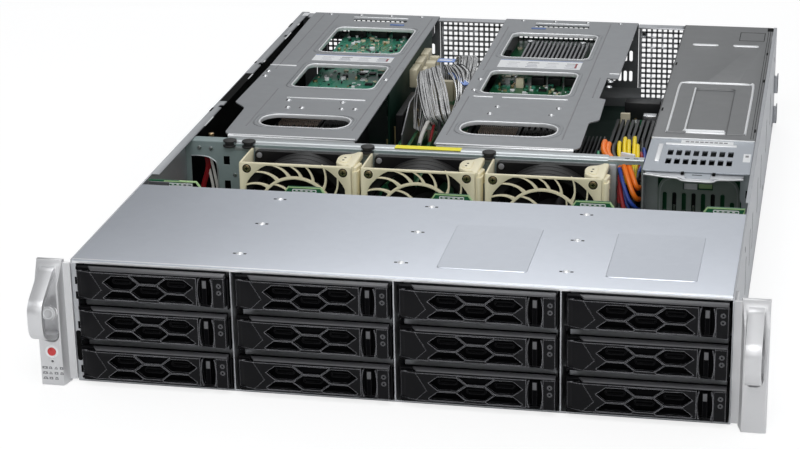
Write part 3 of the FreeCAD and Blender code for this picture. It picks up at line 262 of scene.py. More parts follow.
FINISH = {
    "cover": finish("cover_sheet", (0.62, 0.65, 0.71), metallic=0.72, roughness=0.30, tone=0.05,
                    stretch=(1.0, 14.0, 1.0), fine=260.0, broad=5.0, rough_change=0.06, spangle=0.05),
    # Painted highlight: a near-white copy of the sheet metal laid on folds, lips, beads, ridges and rims
    # where light catches them; it is also the own colour of a few bright metal rings and knobs.
    "edge": finish("bright_fold_and_painted_highlight", (0.90, 0.91, 0.92), metallic=0.55, roughness=0.34, tone=0.03, fine=60.0,
                   bump=0.0, rough_change=0.03),
    "zinc": finish("zinc_sheet", (0.47, 0.48, 0.50), metallic=0.80, roughness=0.42, tone=0.10, fine=500.0,
                   broad=12.0, bump=0.04, rough_change=0.10, spangle=0.12),
    # Painted shade: a darker copy of the zinc for the chassis floor under the boards and drives.
    "floor_zinc_painted_shade": finish("floor_zinc_painted_shade", (0.16, 0.165, 0.17), metallic=0.75, roughness=0.5, tone=0.15,
                         fine=500.0, broad=12.0, bump=0.04, rough_change=0.1, spangle=0.1),
    "riser": finish("riser_sheet", (0.30, 0.31, 0.325), metallic=0.70, tone=0.09, stretch=(1.0, 6.0, 1.0),
                    fine=420.0, broad=8.0, bump=0.04, rough_change=0.08, spangle=0.10, dust_and_sheen=0.10),
    "supply_top": finish("supply_sheet", (0.20, 0.204, 0.208), metallic=0.60, roughness=0.50, tone=0.08,
                         stretch=(6.0, 1.0, 1.0), fine=420.0, broad=8.0, bump=0.04, rough_change=0.08,
                         spangle=0.10, dust_and_sheen=0.08),
    "supply_nose": finish("supply_nose_sheet", (0.44, 0.47, 0.51), metallic=0.60, roughness=0.42, tone=0.06,
                          stretch=(4.0, 1.0, 1.0), fine=420.0, broad=8.0),
    "blue_zinc": finish("bluish_bracket", (0.25, 0.31, 0.31), metallic=0.20, roughness=0.40, tone=0.10,
                        stretch=(1.0, 1.0, 4.0), fine=500.0, broad=12.0, bump=0.04, rough_change=0.1,
                        spangle=0.12),
    "beam": finish("beam_steel", (0.50, 0.53, 0.54), metallic=0.75, roughness=0.32, tone=0.04, fine=60.0,
                   broad=8.0, bump=0.0, rough_change=0.04),
    "slot_grey": finish("slotted_bracket", (0.30, 0.335, 0.32), metallic=0.6, roughness=0.42, tone=0.08),
    "nickel": finish("nickel_casting", (0.70, 0.70, 0.71), metallic=0.62, roughness=0.40, tone=0.05,
                     stretch=(1.0, 1.0, 5.0), fine=700.0, broad=20.0, bump=0.05, rough_change=0.08,
                     wear_and_highlight=(0.92, 0.92, 0.92)),
    "black": finish("tray_black", (0.0015, 0.0015, 0.002), roughness=0.42, tone=0.25, fine=1600.0,
                    broad=30.0, bump=0.10, rough_change=0.08, wear_and_highlight=(0.03, 0.03, 0.032), specular=0.03),
    # Painted highlight: a grey copy of the tray black on the upward face of each tray's top bar; it also
    # colours the rims of the tray lights.
    "bar": finish("tray_bar_painted_highlight", (0.075, 0.075, 0.08), roughness=0.38, tone=0.2, fine=1600.0, broad=30.0,
                  bump=0.10, rough_change=0.08),
    # Its lighter edge colour paints the highlights along the lattice edges as well as their rubbing.
    "rib": finish("lever_black", (0.005, 0.005, 0.006), roughness=0.34, tone=0.2, fine=1600.0, broad=30.0,
                  bump=0.10, rough_change=0.08, wear_and_highlight=(0.34, 0.34, 0.36), specular=0.12),
    # Painted shade: a flat, dull black laid in holes, slits, notches, gaps and openings where only shade
    # falls.
    "pit_shade": finish("painted_pit_shade", (0.003, 0.003, 0.003), roughness=0.6, tone=0.2, fine=1600.0, broad=30.0,
                  bump=0.05, specular=0.06),
    "grey_button": finish("release_grey", (0.10, 0.10, 0.105), roughness=0.4, tone=0.15, fine=1500.0,
                          broad=60.0, bump=0.08),
    "ivory": finish("fan_ivory", (0.86, 0.79, 0.56), roughness=0.40, tone=0.07, broad=30.0, bump=0.08,
                    rough_change=0.08, dust_and_sheen=0.06),
    # Its pale film on what faces up is a dusting and also a painted sheen on the duct's tops.
    "fan_black": finish("fan_black", (0.010, 0.0095, 0.010), roughness=0.42, tone=0.25, broad=24.0,
                        bump=0.08, rough_change=0.10, dust_and_sheen=0.06, specular=0.2),
    "brass": finish("screw_brass", (0.62, 0.45, 0.25), metallic=0.95, roughness=0.28, fine=1500.0,
                    broad=60.0),
    "steel": finish("screw_steel", (0.62, 0.63, 0.64), metallic=0.95, roughness=0.26, tone=0.10,
                    fine=1500.0, broad=60.0),
    "rubber": finish("black_grommet", (0.012, 0.012, 0.012), roughness=0.55, tone=0.2, broad=30.0,
                     bump=0.12),
    "board": finish("board_green", (0.010, 0.115, 0.045), roughness=0.35, tone=0.25, fine=1800.0,
                    broad=60.0, bump=0.10, rough_change=0.1, coat=0.3),
    "board_edge": finish("board_edge", (0.42, 0.62, 0.30), roughness=0.5, tone=0.2),
    "chip": finish("chip_black", (0.007, 0.007, 0.008), roughness=0.42, tone=0.2, fine=1400.0, broad=80.0,
                   bump=0.06),
    "cream": finish("connector_cream", (0.66, 0.60, 0.44), roughness=0.42, tone=0.1, broad=40.0, bump=0.05),
    "sink": finish("sink_aluminium", (0.24, 0.24, 0.25), metallic=0.8, roughness=0.40,
                   stretch=(1.0, 8.0, 1.0), fine=600.0, broad=30.0, bump=0.04),
    "copper": finish("fin_copper", (0.78, 0.62, 0.52), metallic=0.30, roughness=0.40, tone=0.2,
                     stretch=(1.0, 8.0, 1.0), fine=600.0, broad=30.0, bump=0.04),
    "ribbon": finish("ribbon_silver", (0.80, 0.80, 0.80), metallic=0.45, roughness=0.26, tone=0.25,
                     fine=700.0, broad=60.0, bump=0.10, rough_change=0.1),
    # Painted shade: the dark strands stand for the shade between the strands.
    "ribbon_gap_shade": finish("ribbon_shade", (0.035, 0.035, 0.037), metallic=0.45, roughness=0.30, tone=0.25,
                          fine=700.0, broad=60.0, bump=0.10, rough_change=0.1),
    "dark_board": finish("board_dark", (0.006, 0.028, 0.018), roughness=0.5, tone=0.3, fine=1800.0,
                         broad=60.0, bump=0.10, specular=0.2),
    "traced": finish("board_traced", (0.05, 0.26, 0.17), roughness=0.35, tone=0.35,
                     stretch=(1.0, 12.0, 1.0), broad=90.0, bump=0.10),
    "pale_blue": finish("tab_pale_blue", (0.22, 0.34, 0.72), roughness=0.4),
    "yellow": finish("label_yellow", (0.95, 0.84, 0.02), roughness=0.5, tone=0.08),
    "white": finish("label_white", (0.80, 0.81, 0.82), tone=0.06),
    "blue": finish("tab_blue", (0.09, 0.17, 0.42), roughness=0.4),
    "red": finish("button_red", (0.62, 0.03, 0.03), roughness=0.28, tone=0.1, coat=0.4),
    "orange": finish("wire_orange", (0.88, 0.19, 0.01), roughness=0.4, tone=0.1),
    "wire_red": finish("wire_red", (0.26, 0.008, 0.012), roughness=0.4, tone=0.1),
    "wire_yellow": finish("wire_yellow", (0.88, 0.66, 0.01), roughness=0.4, tone=0.1),
    "wire_black": finish("wire_black", (0.010, 0.010, 0.011), roughness=0.4, tone=0.1),
    "wire_blue": finish("wire_blue", (0.015, 0.05, 0.30), roughness=0.4, tone=0.1),
    "wire_white": finish("wire_white", (0.72, 0.70, 0.66), roughness=0.4, tone=0.1),
    "print_grey": finish("print_grey", (0.40, 0.41, 0.46), roughness=0.5, tone=0.1),
    # Dark grey for print and screws, and painted shade in pressed grooves and stamped outlines.
    "ink_and_groove_shade": finish("marking_grey_and_groove_shade", (0.22, 0.22, 0.23), roughness=0.5, tone=0.1),
    "green_latch": finish("latch_green", (0.04, 0.26, 0.13), roughness=0.35, tone=0.1),
}

# A shape's faces carry the number of their finish in this list; "first" is the first finish of the piece.
FINISH_KEYS = ["first", *FINISH]
SHARP_ANGLE = 0.6
AXIS_TURNS = {"Z": Matrix.Identity(3), "Y": Matrix.Rotation(-math.pi / 2, 3, "X"),
              "X": Matrix.Rotation(math.pi / 2, 3, "Y")}


# ---------------------------------------------------------------- modelling

def turned(plane, point, depth):
    """A drawn point, put on its plane at a depth along the third axis."""
    a, b = point
    return {"XY": (a, b, depth), "XZ": (a, depth, b), "YZ": (depth, a, b)}[plane]


def drawn_loop(mesh, plane, points, depth):
    """A closed loop through (a, b) or (a, b, radius) corners, the radii rounded by a vertex bevel."""
    corners = [mesh.verts.new(turned(plane, p[:2], depth)) for p in points]
    face = mesh.faces.new(corners)
    for radius in sorted({p[2] for p in points if len(p) > 2 and p[2] > 0}):
        picked = [v for v, p in zip(corners, points) if len(p) > 2 and p[2] == radius and v.is_valid]
        bmesh.ops.bevel(mesh, geom=picked, offset=radius, segments=5, profile=0.5, affect="VERTICES",
                        material=-1)
    return face


def oblong(left, low, right, high, radius=0.0):
    """The four corners of a rectangle, all with one radius."""
    return [(left, low, radius), (right, low, radius), (right, high, radius), (left, high, radius)]


def plate(plane, outer, holes=(), start=0.0, end=1.0, bevel=0.0, segments=2, finish_key="first"):
    """A sheet between two depths, with its holes, and its sharp edges rounded."""
    mesh = bmesh.new()
    drawn_loop(mesh, plane, outer, start)
    for hole in holes:
        drawn_loop(mesh, plane, hole, start)
    if holes:
        bmesh.ops.delete(mesh, geom=mesh.faces[:], context="FACES_ONLY")
        bmesh.ops.triangle_fill(mesh, use_beauty=True, edges=mesh.edges[:])
        bmesh.ops.dissolve_limit(mesh, angle_limit=0.01, verts=mesh.verts[:], edges=mesh.edges[:])
    extruded = bmesh.ops.extrude_face_region(mesh, geom=mesh.faces[:])
    raised = [item for item in extruded["geom"] if isinstance(item, bmesh.types.BMVert)]
    shift = Vector(turned(plane, (0.0, 0.0), end - start))
    bmesh.ops.translate(mesh, verts=raised, vec=shift)
    return closed(mesh, bevel, segments, finish_key)


def closed(mesh, bevel=0.0, segments=2, finish_key="first", angle=SHARP_ANGLE):
    """Normals made to point out, sharp edges rounded, and a finish set."""
    bmesh.ops.recalc_face_normals(mesh, faces=mesh.faces[:])
    if bevel > 0:
        sharp = [e for e in mesh.edges if len(e.link_faces) == 2 and e.calc_face_angle(0.0) > angle]
        bmesh.ops.bevel(mesh, geom=sharp, offset=bevel, segments=segments, profile=0.5, affect="EDGES",
                        clamp_overlap=True, material=-1)
    number = FINISH_KEYS.index(finish_key)
    for face in mesh.faces:
        face.material_index = number
    return mesh


def block(low, high, bevel=0.0, segments=2, finish_key="first"):
    """A box between two corners with rounded edges."""
    mesh = bmesh.new()
    bmesh.ops.create_cube(mesh, size=1.0)
    low, high = Vector(low), Vector(high)
    bmesh.ops.scale(mesh, verts=mesh.verts[:], vec=high - low)
    bmesh.ops.translate(mesh, verts=mesh.verts[:], vec=(low + high) / 2)
    return closed(mesh, bevel, segments, finish_key)


def aimed(mesh, axis, centre):
    """The shape, drawn along Z, turned to its axis and moved to its place."""
    bmesh.ops.rotate(mesh, verts=mesh.verts[:], cent=(0, 0, 0), matrix=AXIS_TURNS[axis])
    bmesh.ops.translate(mesh, verts=mesh.verts[:], vec=centre)
    return mesh


def rod(centre, radius, length, axis="Z", sides=24, bevel=0.0, finish_key="first", top_radius=None):
    """A cylinder or cone that starts at a point and runs along one axis."""
    mesh = bmesh.new()
    bmesh.ops.create_cone(mesh, cap_ends=True, segments=sides, radius1=radius,
                          radius2=radius if top_radius is None else top_radius, depth=length)
    bmesh.ops.translate(mesh, verts=mesh.verts[:], vec=(0, 0, length / 2))
    return closed(aimed(mesh, axis, centre), bevel, 2, finish_key)


def dome(centre, radius, height, finish_key="first"):
    """A low round rivet head that faces up."""
    mesh = bmesh.new()
    bmesh.ops.create_uvsphere(mesh, u_segments=16, v_segments=8, radius=1.0)
    bmesh.ops.bisect_plane(mesh, geom=mesh.verts[:] + mesh.edges[:] + mesh.faces[:], plane_co=(0, 0, 0),
                           plane_no=(0, 0, 1), clear_inner=True)
    bmesh.ops.holes_fill(mesh, edges=mesh.edges[:])
    bmesh.ops.scale(mesh, verts=mesh.verts[:], vec=(radius, radius, height))
    bmesh.ops.translate(mesh, verts=mesh.verts[:], vec=centre)
    return closed(mesh, finish_key=finish_key)


def ring(centre, outer, inner, length, axis="Z", sides=32, bevel=0.0, finish_key="first"):
    """A washer or tube: a profile spun once round its axis."""
    mesh = bmesh.new()
    spots = [(inner, 0), (outer, 0), (outer, length), (inner, length)]
    corners = [mesh.verts.new((a, 0, b)) for a, b in spots]
    edges = [mesh.edges.new((corners[n], corners[(n + 1) % 4])) for n in range(4)]
    bmesh.ops.spin(mesh, geom=corners + edges, cent=(0, 0, 0), axis=(0, 0, 1), angle=2 * math.pi, steps=sides,
                   use_merge=True)
    return closed(aimed(mesh, axis, centre), bevel, 2, finish_key)


def rotated(mesh, angle, axis, centre):
    """The shape turned about an axis through a point."""
    bmesh.ops.rotate(mesh, verts=mesh.verts[:], cent=centre, matrix=Matrix.Rotation(angle, 3, axis))
    return mesh


def moved(mesh, x=0.0, y=0.0, z=0.0):
    """The shape moved."""
    bmesh.ops.translate(mesh, verts=mesh.verts[:], vec=(x, y, z))
    return mesh


def piece(name, body, finishes, shapes, replaces=()):
    """One object from several shapes, riding on a body, with its finishes in the order given."""
    whole = bpy.data.meshes.new(name)
    joined = bmesh.new()
    for shape in shapes:
        step = bpy.data.meshes.new("step")
        shape.to_mesh(step)
        joined.from_mesh(step)
        bpy.data.meshes.remove(step)
        shape.free()
    bmesh.ops.scale(joined, verts=joined.verts[:], vec=(0.001, 0.001, 0.001))
    numbers = {0: 0} | {FINISH_KEYS.index(key): place for place, key in enumerate(finishes)}
    for face in joined.faces:
        face.material_index = numbers[face.material_index]
    joined.to_mesh(whole)
    joined.free()
    for key in finishes:
        whole.materials.append(FINISH[key])
    whole.polygons.foreach_set("use_smooth", [True] * len(whole.polygons))
    whole.set_sharp_from_angle(angle=SHARP_ANGLE)
    item = bpy.data.objects.new(name, whole)
    bpy.context.scene.collection.objects.link(item)
    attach(item, body)
    if replaces:
        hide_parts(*replaces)
    return item


def repeat_of(source, name, body, shift, replaces=()):
    """The same piece again at another place, with the place in its mesh."""
    mesh = source.data.copy()
    mesh.transform(Matrix.Translation(Vector(shift) / 1000))
    item = bpy.data.objects.new(name, mesh)
    bpy.context.scene.collection.objects.link(item)
    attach(item, body)
    if replaces:
        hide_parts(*replaces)
    return item


def cad_shape(node, width, zones=(), segments=1):
    """The CAD solid's own shape, its triangles merged and edges rounded, with finishes by where faces lie."""
    mesh = bmesh.new()
    mesh.from_mesh(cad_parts[node].data)
    bmesh.ops.scale(mesh, verts=mesh.verts[:], vec=(1000, 1000, 1000))
    bmesh.ops.remove_doubles(mesh, verts=mesh.verts[:], dist=0.002)
    bmesh.ops.dissolve_limit(mesh, angle_limit=0.02, verts=mesh.verts[:], edges=mesh.edges[:])
    closed(mesh, width, segments)
    for face in mesh.faces:
        middle = face.calc_center_median()
        for low, high, finish_key in zones:
            if all(a <= c <= b for a, c, b in zip(low, middle, high)):
                face.material_index = FINISH_KEYS.index(finish_key)
                break
    return mesh


# ---------------------------------------------------------------- camera, light and floor

def place_camera():
    """A long lens on the front right, above the server."""
    azimuth, elevation, roll = (math.radians(a) for a in (11.757, 20.18, -1.106))
    forward = Vector((-math.sin(azimuth) * math.cos(elevation), math.cos(azimuth) * math.cos(elevation),
                      -math.sin(elevation)))
    level = Vector((math.cos(azimuth), math.sin(azimuth), 0.0))
    upright = level.cross(forward)
    right = math.cos(roll) * level + math.sin(roll) * upright
    up = -math.sin(roll) * level + math.cos(roll) * upright
    camera = bpy.data.objects.new("camera", bpy.data.cameras.new("camera"))
    camera.data.lens = 99.69
    camera.data.sensor_width = 36.0
    camera.data.clip_end = 50.0
    turn = Matrix((right, up, -forward)).transposed().to_4x4()
    camera.matrix_world = Matrix.Translation((0.2758, -1.6232, 0.6124)) @ turn
    bpy.context.scene.collection.objects.link(camera)
    bpy.context.scene.camera = camera


def soft_lamp(name, place, target, width, height, watts, colour=(1.0, 1.0, 1.0)):
    """A square studio lamp aimed at a point."""
    light = bpy.data.lights.new(name, "AREA")
    light.shape = "RECTANGLE"
    light.size = width
    light.size_y = height
    light.energy = watts
    light.color = colour
    item = bpy.data.objects.new(name, light)
    item.location = place
    item.rotation_euler = (Vector(target) - Vector(place)).to_track_quat("-Z", "Y").to_euler()
    bpy.context.scene.collection.objects.link(item)


def light_studio():
    """A pale room: white to the camera, brighter to the right in reflections, with soft lamps."""
    world = bpy.data.worlds.new("studio")
    world.use_nodes = True
    tree = world.node_tree
    tree.nodes.clear()
    out = tree.nodes.new("ShaderNodeOutputWorld")
    where = tree.nodes.new("ShaderNodeTexCoord")
    split = tree.nodes.new("ShaderNodeSeparateXYZ")
    tree.links.new(where.outputs["Generated"], split.inputs[0])
    place = math_node(tree, "ADD", math_node(tree, "MULTIPLY", split.outputs["X"], 0.5), 0.5)
    ramp = tree.nodes.new("ShaderNodeValToRGB")
    steps = ((0.0, 0.22), (0.35, 0.04), (0.40, 1.0), (0.47, 0.80), (0.56, 0.42), (0.75, 0.80), (1.0, 1.0))
    while len(ramp.color_ramp.elements) < len(steps):
        ramp.color_ramp.elements.new(0.5)
    for stop, (spot, tone) in zip(ramp.color_ramp.elements, steps):
        stop.position = spot
        stop.color = (tone, tone, tone, 1.0)
    tree.links.new(place, ramp.inputs[0])
    across = ramp.outputs[0]
    high = math_node(tree, "ADD", math_node(tree, "MULTIPLY", split.outputs["Z"], 0.25), 0.85)
    tone = math_node(tree, "MULTIPLY", across, high)
    room = tree.nodes.new("ShaderNodeBackground")
    room.inputs["Color"].default_value = (0.96, 0.98, 1.0, 1.0)
    tree.links.new(math_node(tree, "MULTIPLY", tone, 0.80), room.inputs["Strength"])
    white = tree.nodes.new("ShaderNodeBackground")
    white.inputs["Strength"].default_value = 1.0
    rays = tree.nodes.new("ShaderNodeLightPath")
    pick = tree.nodes.new("ShaderNodeMixShader")
    tree.links.new(rays.outputs["Is Camera Ray"], pick.inputs[0])
    tree.links.new(room.outputs[0], pick.inputs[1])
    tree.links.new(white.outputs[0], pick.inputs[2])
    tree.links.new(pick.outputs[0], out.inputs[0])
    bpy.context.scene.world = world
    soft_lamp("key", (0.15, -1.3, 1.8), (0.0, -0.1, 0.0), 1.2, 1.2, 16.0)
    soft_lamp("fill", (-1.6, -0.9, 1.1), (0.0, -0.1, 0.0), 1.0, 1.0, 5.0, (0.95, 0.97, 1.0))
    soft_lamp("rim", (-0.3, 1.4, 1.9), (0.0, 0.0, 0.0), 1.2, 0.8, 8.0)
    soft_lamp("front", (0.1, -2.2, 0.9), (0.0, -0.3, 0.04), 1.6, 0.4, 4.0)


def lay_floor():
    """A white floor that keeps a soft shadow."""
    mesh = bmesh.new()
    bmesh.ops.create_grid(mesh, x_segments=1, y_segments=1, size=6.0)
    bmesh.ops.translate(mesh, verts=mesh.verts[:], vec=(0, 0, -0.0004))
    data = bpy.data.meshes.new("floor")
    mesh.to_mesh(data)
    mesh.free()
    paint = bpy.data.materials.new("floor_white")
    paint.use_nodes = True
    tree = paint.node_tree
    shader = tree.nodes["Principled BSDF"]
    shader.inputs["Base Color"].default_value = (0.93, 0.93, 0.93, 1.0)
    shader.inputs["Roughness"].default_value = 0.9
    rays = tree.nodes.new("ShaderNodeLightPath")
    glow = tree.nodes.new("ShaderNodeEmission")
    glow.inputs["Strength"].default_value = 1.12
    lift = tree.nodes.new("ShaderNodeMixShader")
    tree.links.new(math_node(tree, "MULTIPLY", rays.outputs["Is Camera Ray"], 0.70), lift.inputs[0])
    tree.links.new(shader.outputs[0], lift.inputs[1])
    tree.links.new(glow.outputs[0], lift.inputs[2])
    tree.links.new(lift.outputs[0], tree.nodes["Material Output"].inputs[0])
    data.materials.append(paint)
    floor = bpy.data.objects.new("floor", data)
    bpy.context.scene.collection.objects.link(floor)


bpy.context.scene.view_settings.view_transform = "Standard"
place_camera()
light_studio()
lay_floor()


# ---------------------------------------------------------------- swept leads

def smooth_path(points, steps):
    """Evenly numbered points on a soft curve through the given ones."""
    spots = [Vector(p) for p in points]
    spots = [spots[0] * 2 - spots[1]] + spots + [spots[-1] * 2 - spots[-2]]
    path = []
    for n in range(1, len(spots) - 2):
        a, b, c, d = spots[n - 1:n + 3]
        for step in range(steps):
            t = step / steps
            bend = (2 * a - 5 * b + 4 * c - d) * t * t
            twist = (3 * b - a - 3 * c + d) * t ** 3
            path.append(0.5 * ((2 * b) + (c - a) * t + bend + twist))
    path.append(spots[-2])
    return path


def swept(points, radius, finish_key="first", sides=6, steps=5):
    """A round lead along a soft curve, its rings bridged one to the next."""
    mesh = bmesh.new()
    path = smooth_path(points, steps)
    side = None
    before = []
    for n, spot in enumerate(path):
        along = (path[min(n + 1, len(path) - 1)] - path[max(n - 1, 0)]).normalized()
        if side is None:
            side = along.orthogonal().normalized()
        side = (side - along * side.dot(along)).normalized()
        across = along.cross(side)
        ringed = [mesh.verts.new(spot + radius * (math.cos(turn) * side + math.sin(turn) * across))
                  for turn in (2 * math.pi * k / sides for k in range(sides))]
        edges = [mesh.edges.new((ringed[k], ringed[(k + 1) % sides])) for k in range(sides)]
        if before:
            bmesh.ops.bridge_loops(mesh, edges=before + edges)
        before = edges
    bmesh.ops.holes_fill(mesh, edges=mesh.edges[:], sides=sides)
    return closed(mesh, finish_key=finish_key)


def ribbon_lead(first, second, count, radius, seed, looseness):
    """A flat lead of many strands laid between the paths of its two edges."""
    chance = random.Random(seed)
    shapes = []
    for n in range(count):
        share = n / (count - 1)
        points = []
        for k, (a, b) in enumerate(zip(first, second)):
            free = 0.0 if k in (0, len(first) - 1) else looseness
            wobble = Vector((chance.uniform(-free, free), chance.uniform(-free, free),
                             chance.uniform(-free, free)))
            points.append(Vector(a).lerp(Vector(b), share) + wobble)
        shapes.append(swept(points, radius, "ribbon", 6, 6))
    return shapes


# ---------------------------------------------------------------- drive trays

TRAY_LEFT = 3.7
TRAY_WIDTH = 103.6
FACE = FRONT - 8.0


def hexagon(u, z):
    """A long hexagonal window, given by its middle."""
    tip, flat, rise = 12.1, 5.9, 4.9
    return [(u - tip, z), (u - flat, z - rise), (u + flat, z - rise), (u + tip, z), (u + flat, z + rise),
            (u - flat, z + rise)]


def lever_shape():
    """The lever's lattice plate, its raked and faceted left end and its sunk middle bay."""
    low, high = 4.0, 23.4
    holes = [hexagon(35.9, 16.6), hexagon(73.5, 16.6), hexagon(54.7, 11.0)]
    for u in (35.9, 73.5):
        holes.append([(u - 12.1, 5.8), (u - 10.9, low + 0.8), (u + 10.9, low + 0.8), (u + 12.1, 5.8),
                      (u + 5.9, 10.7), (u - 5.9, 10.7)])
    holes.append([(49.0, 16.95), (60.4, 16.95), (67.3, high - 0.9), (42.1, high - 0.9)])
    sheet = plate("XZ", [(15.2, low), (87.9, low), (87.9, high), (15.2, high), (22.6, 11.2)], holes, FACE,
                  FACE + 2.6, 0.26, 2)
    end = bmesh.new()
    spots = [(15.2, FACE, high), (22.6, FACE, 11.2), (15.2, FACE, low), (5.0, FACE + 3.3, low + 0.5),
             (5.0, FACE + 3.3, high - 0.5), (12.5, FACE + 1.5, 11.2)]
    a, b, c, d, e, f = (end.verts.new(p) for p in spots)
    for corners in ((a, f, b), (b, f, c), (c, f, d), (d, f, e), (e, f, a)):
        end.faces.new(corners)
    extruded = bmesh.ops.extrude_face_region(end, geom=end.faces[:])
    back = [item for item in extruded["geom"] if isinstance(item, bmesh.types.BMVert)]
    bmesh.ops.translate(end, verts=back, vec=(0, 2.4, 0))
    closed(end, 0.16, 2, "rib", 0.2)
    bays = plate("XZ", [(42.4, high - 1.0), (67.0, high - 1.0), (60.2, 16.6), (49.2, 16.6)], (), FACE + 1.2,
                 FACE + 2.4, 0.2, 2, "black")
    pin = rod((TRAY_LEFT + 4.0, FACE + 4.2, 3.4), 1.2, 21.6, "Z", 20)
    return [sheet, end, bays, pin]


def tray_shape():
    """The bezel frame behind the lever with its bars, groove lips and lights, the rails and the drive."""
    left, right = TRAY_LEFT, TRAY_LEFT + TRAY_WIDTH
    back = FRONT - 3.0
    shapes = [plate("XZ", oblong(left + 0.8, 2.8, right - 0.8, 25.6),
                    [oblong(left + 0.9, 4.6, left + 9, 23.2),
                     oblong(92.25, 9.8, 94.45, 18.6)], back, FRONT, 0.15, 1, "black")]
    # The top bar is in the grey bar finish: a painted highlight on its upward face.
    bar = plate("YZ", [(back + 0.1, 25.8), (back + 0.1, 24.3), (FACE + 0.3, 24.3), (FACE + 0.3, 25.5)], (),
                12.4, right - 0.8, 0.0, 2, "bar")
    for corner in [v for v in bar.verts if v.co.x < 20 and v.co.y < FRONT - 5]:
        corner.co.x += 3.4
    shapes += [
        closed(bar, 0.18, 2, "bar"),
        block((left + 0.8, FACE + 3.0, 23.4), (12.6, back, 25.6), 0.3, 2, "black"),
        plate("YZ", [(back, 2.8), (FACE + 2.4, 2.8), (FACE + 1.6, 4.4), (back, 4.4)], (), left + 0.8,
              right - 0.8, 0.2, 2, "black"),
    ]
    groove = 88.3
    shapes.append(plate("XZ",
                        [(groove + 10.3, 2.8, 0.8), (right - 0.8, 2.8, 0.8), (right - 0.8, 23.7),
                         (groove + 10.3, 23.7)], (), FACE + 0.4, back, 0.3, 2, "rib"))
    for u, bulge in ((groove + 1.0, -1.2), (groove + 9.1, 1.2)):
        groove_lip = plate("XZ", oblong(u - 0.45, 3.4, u + 0.45, 22.6), (), FACE + 1.0, back, 0.0)
        tall = [e for e in groove_lip.edges if abs(e.verts[0].co.z - e.verts[1].co.z) > 5]
        bmesh.ops.subdivide_edges(groove_lip, edges=tall, cuts=9, use_grid_fill=True)
        for corner in groove_lip.verts:
            corner.co.x += bulge * (1 - ((corner.co.z - 13.0) / 9.6) ** 2)
        shapes.append(closed(groove_lip, 0.15, 1, "rib"))
    for u, z in ((35.9, 16.6), (73.5, 16.6), (54.7, 11.0)):
        shapes.append(plate("XZ", oblong(u - 6.6, z - 2.0, u + 6.6, z + 2.0, 1.9),
                            [oblong(u - 5.6, z - 1.1, u + 5.6, z + 1.1, 1.0)],
                            FACE + 3.6, back, 0.2, 1, "black"))
    for z in (18.6, 13.7):
        shapes += [
            ring((103.1, FACE + 0.15, z), 1.35, 1.05, 0.6, "Y", 24, 0.0, "bar"),
            rod((103.1, FACE + 0.3, z), 0.6, 0.4, "Y", 16, 0.0, "black"),
        ]
    for side in (left, right - 1.0):
        shapes.append(plate("YZ",
                            [(FRONT, -0.7), (FRONT + 151, -0.7), (FRONT + 151, 13, 3), (FRONT + 70, 13),
                             (FRONT + 62, 21), (FRONT, 21)],
                            [oblong(FRONT + 24, 6, FRONT + 44, 14, 2),
                             oblong(FRONT + 84, 3, FRONT + 128, 10, 2)], side, side + 1.0, 0.0, 1, "black"))
    for y in (14, 134):
        shapes.append(block((left + 1, FRONT + y, -0.8), (right - 1, FRONT + y + 14, -0.2), 0.2, 1, "black"))
    shapes += [
        block((left + 1.05, FRONT + 10, -0.2), (right - 1.05, FRONT + 157, 25.85), 0.9, 2, "zinc"),
        plate("XY", oblong(left + 12, FRONT + 30, right - 12, FRONT + 130, 3), (), 25.8, 25.9, 0.0, 1,
              "white"),
    ]
    return shapes


def release_shape():
    """The release button with its lighter upper end."""
    middle = 93.35
    return [
        block((middle - 1.6, FACE + 0.3, 4.8), (middle + 1.6, FRONT - 4.8, 22.2), 0.35, 2, "black"),
        block((middle - 1.35, FACE + 0.12, 16.6), (middle + 1.35, FACE + 0.6, 21.8), 0.2, 2, "grey_button"),
        block((middle - 1.05, FRONT - 4.8, 9.9), (middle + 1.05, FRONT - 0.6, 18.5), 0.1, 1, "black"),
    ]


def make_drives():
    """One tray, lever and button modelled in full, and the others repeated from them."""
    made = {}
    for number in range(1, 13):
        column, row = divmod(number - 1, 3)
        shift = ((column - 2) * BAY_PITCH, 0.0, ROW_BASE + row * ROW_PITCH)
        for stem, slot_name, shapes, finishes in (
                ("drive_carrier", "carrier_black", tray_shape,
                 ("black", "bar", "rib", "ink_and_groove_shade", "zinc", "white")),
                ("drive_lever", "lever_black", lever_shape, ("rib", "black")),
                ("drive_release", "release_black", release_shape, ("black", "grey_button"))):
            node = f"{stem}_{number}"
            if number == 1:
                made[stem] = piece(f"{stem}_fine_1", node, finishes,
                                   [moved(s, *shift) for s in shapes()], (node,))
                made[stem + "_at"] = shift
            else:
                step = [a - b for a, b in zip(shift, made[stem + "_at"])]
                repeat_of(made[stem], f"{stem}_fine_{number}", node, step, (node,))


make_drives()


# ---------------------------------------------------------------- drive cover

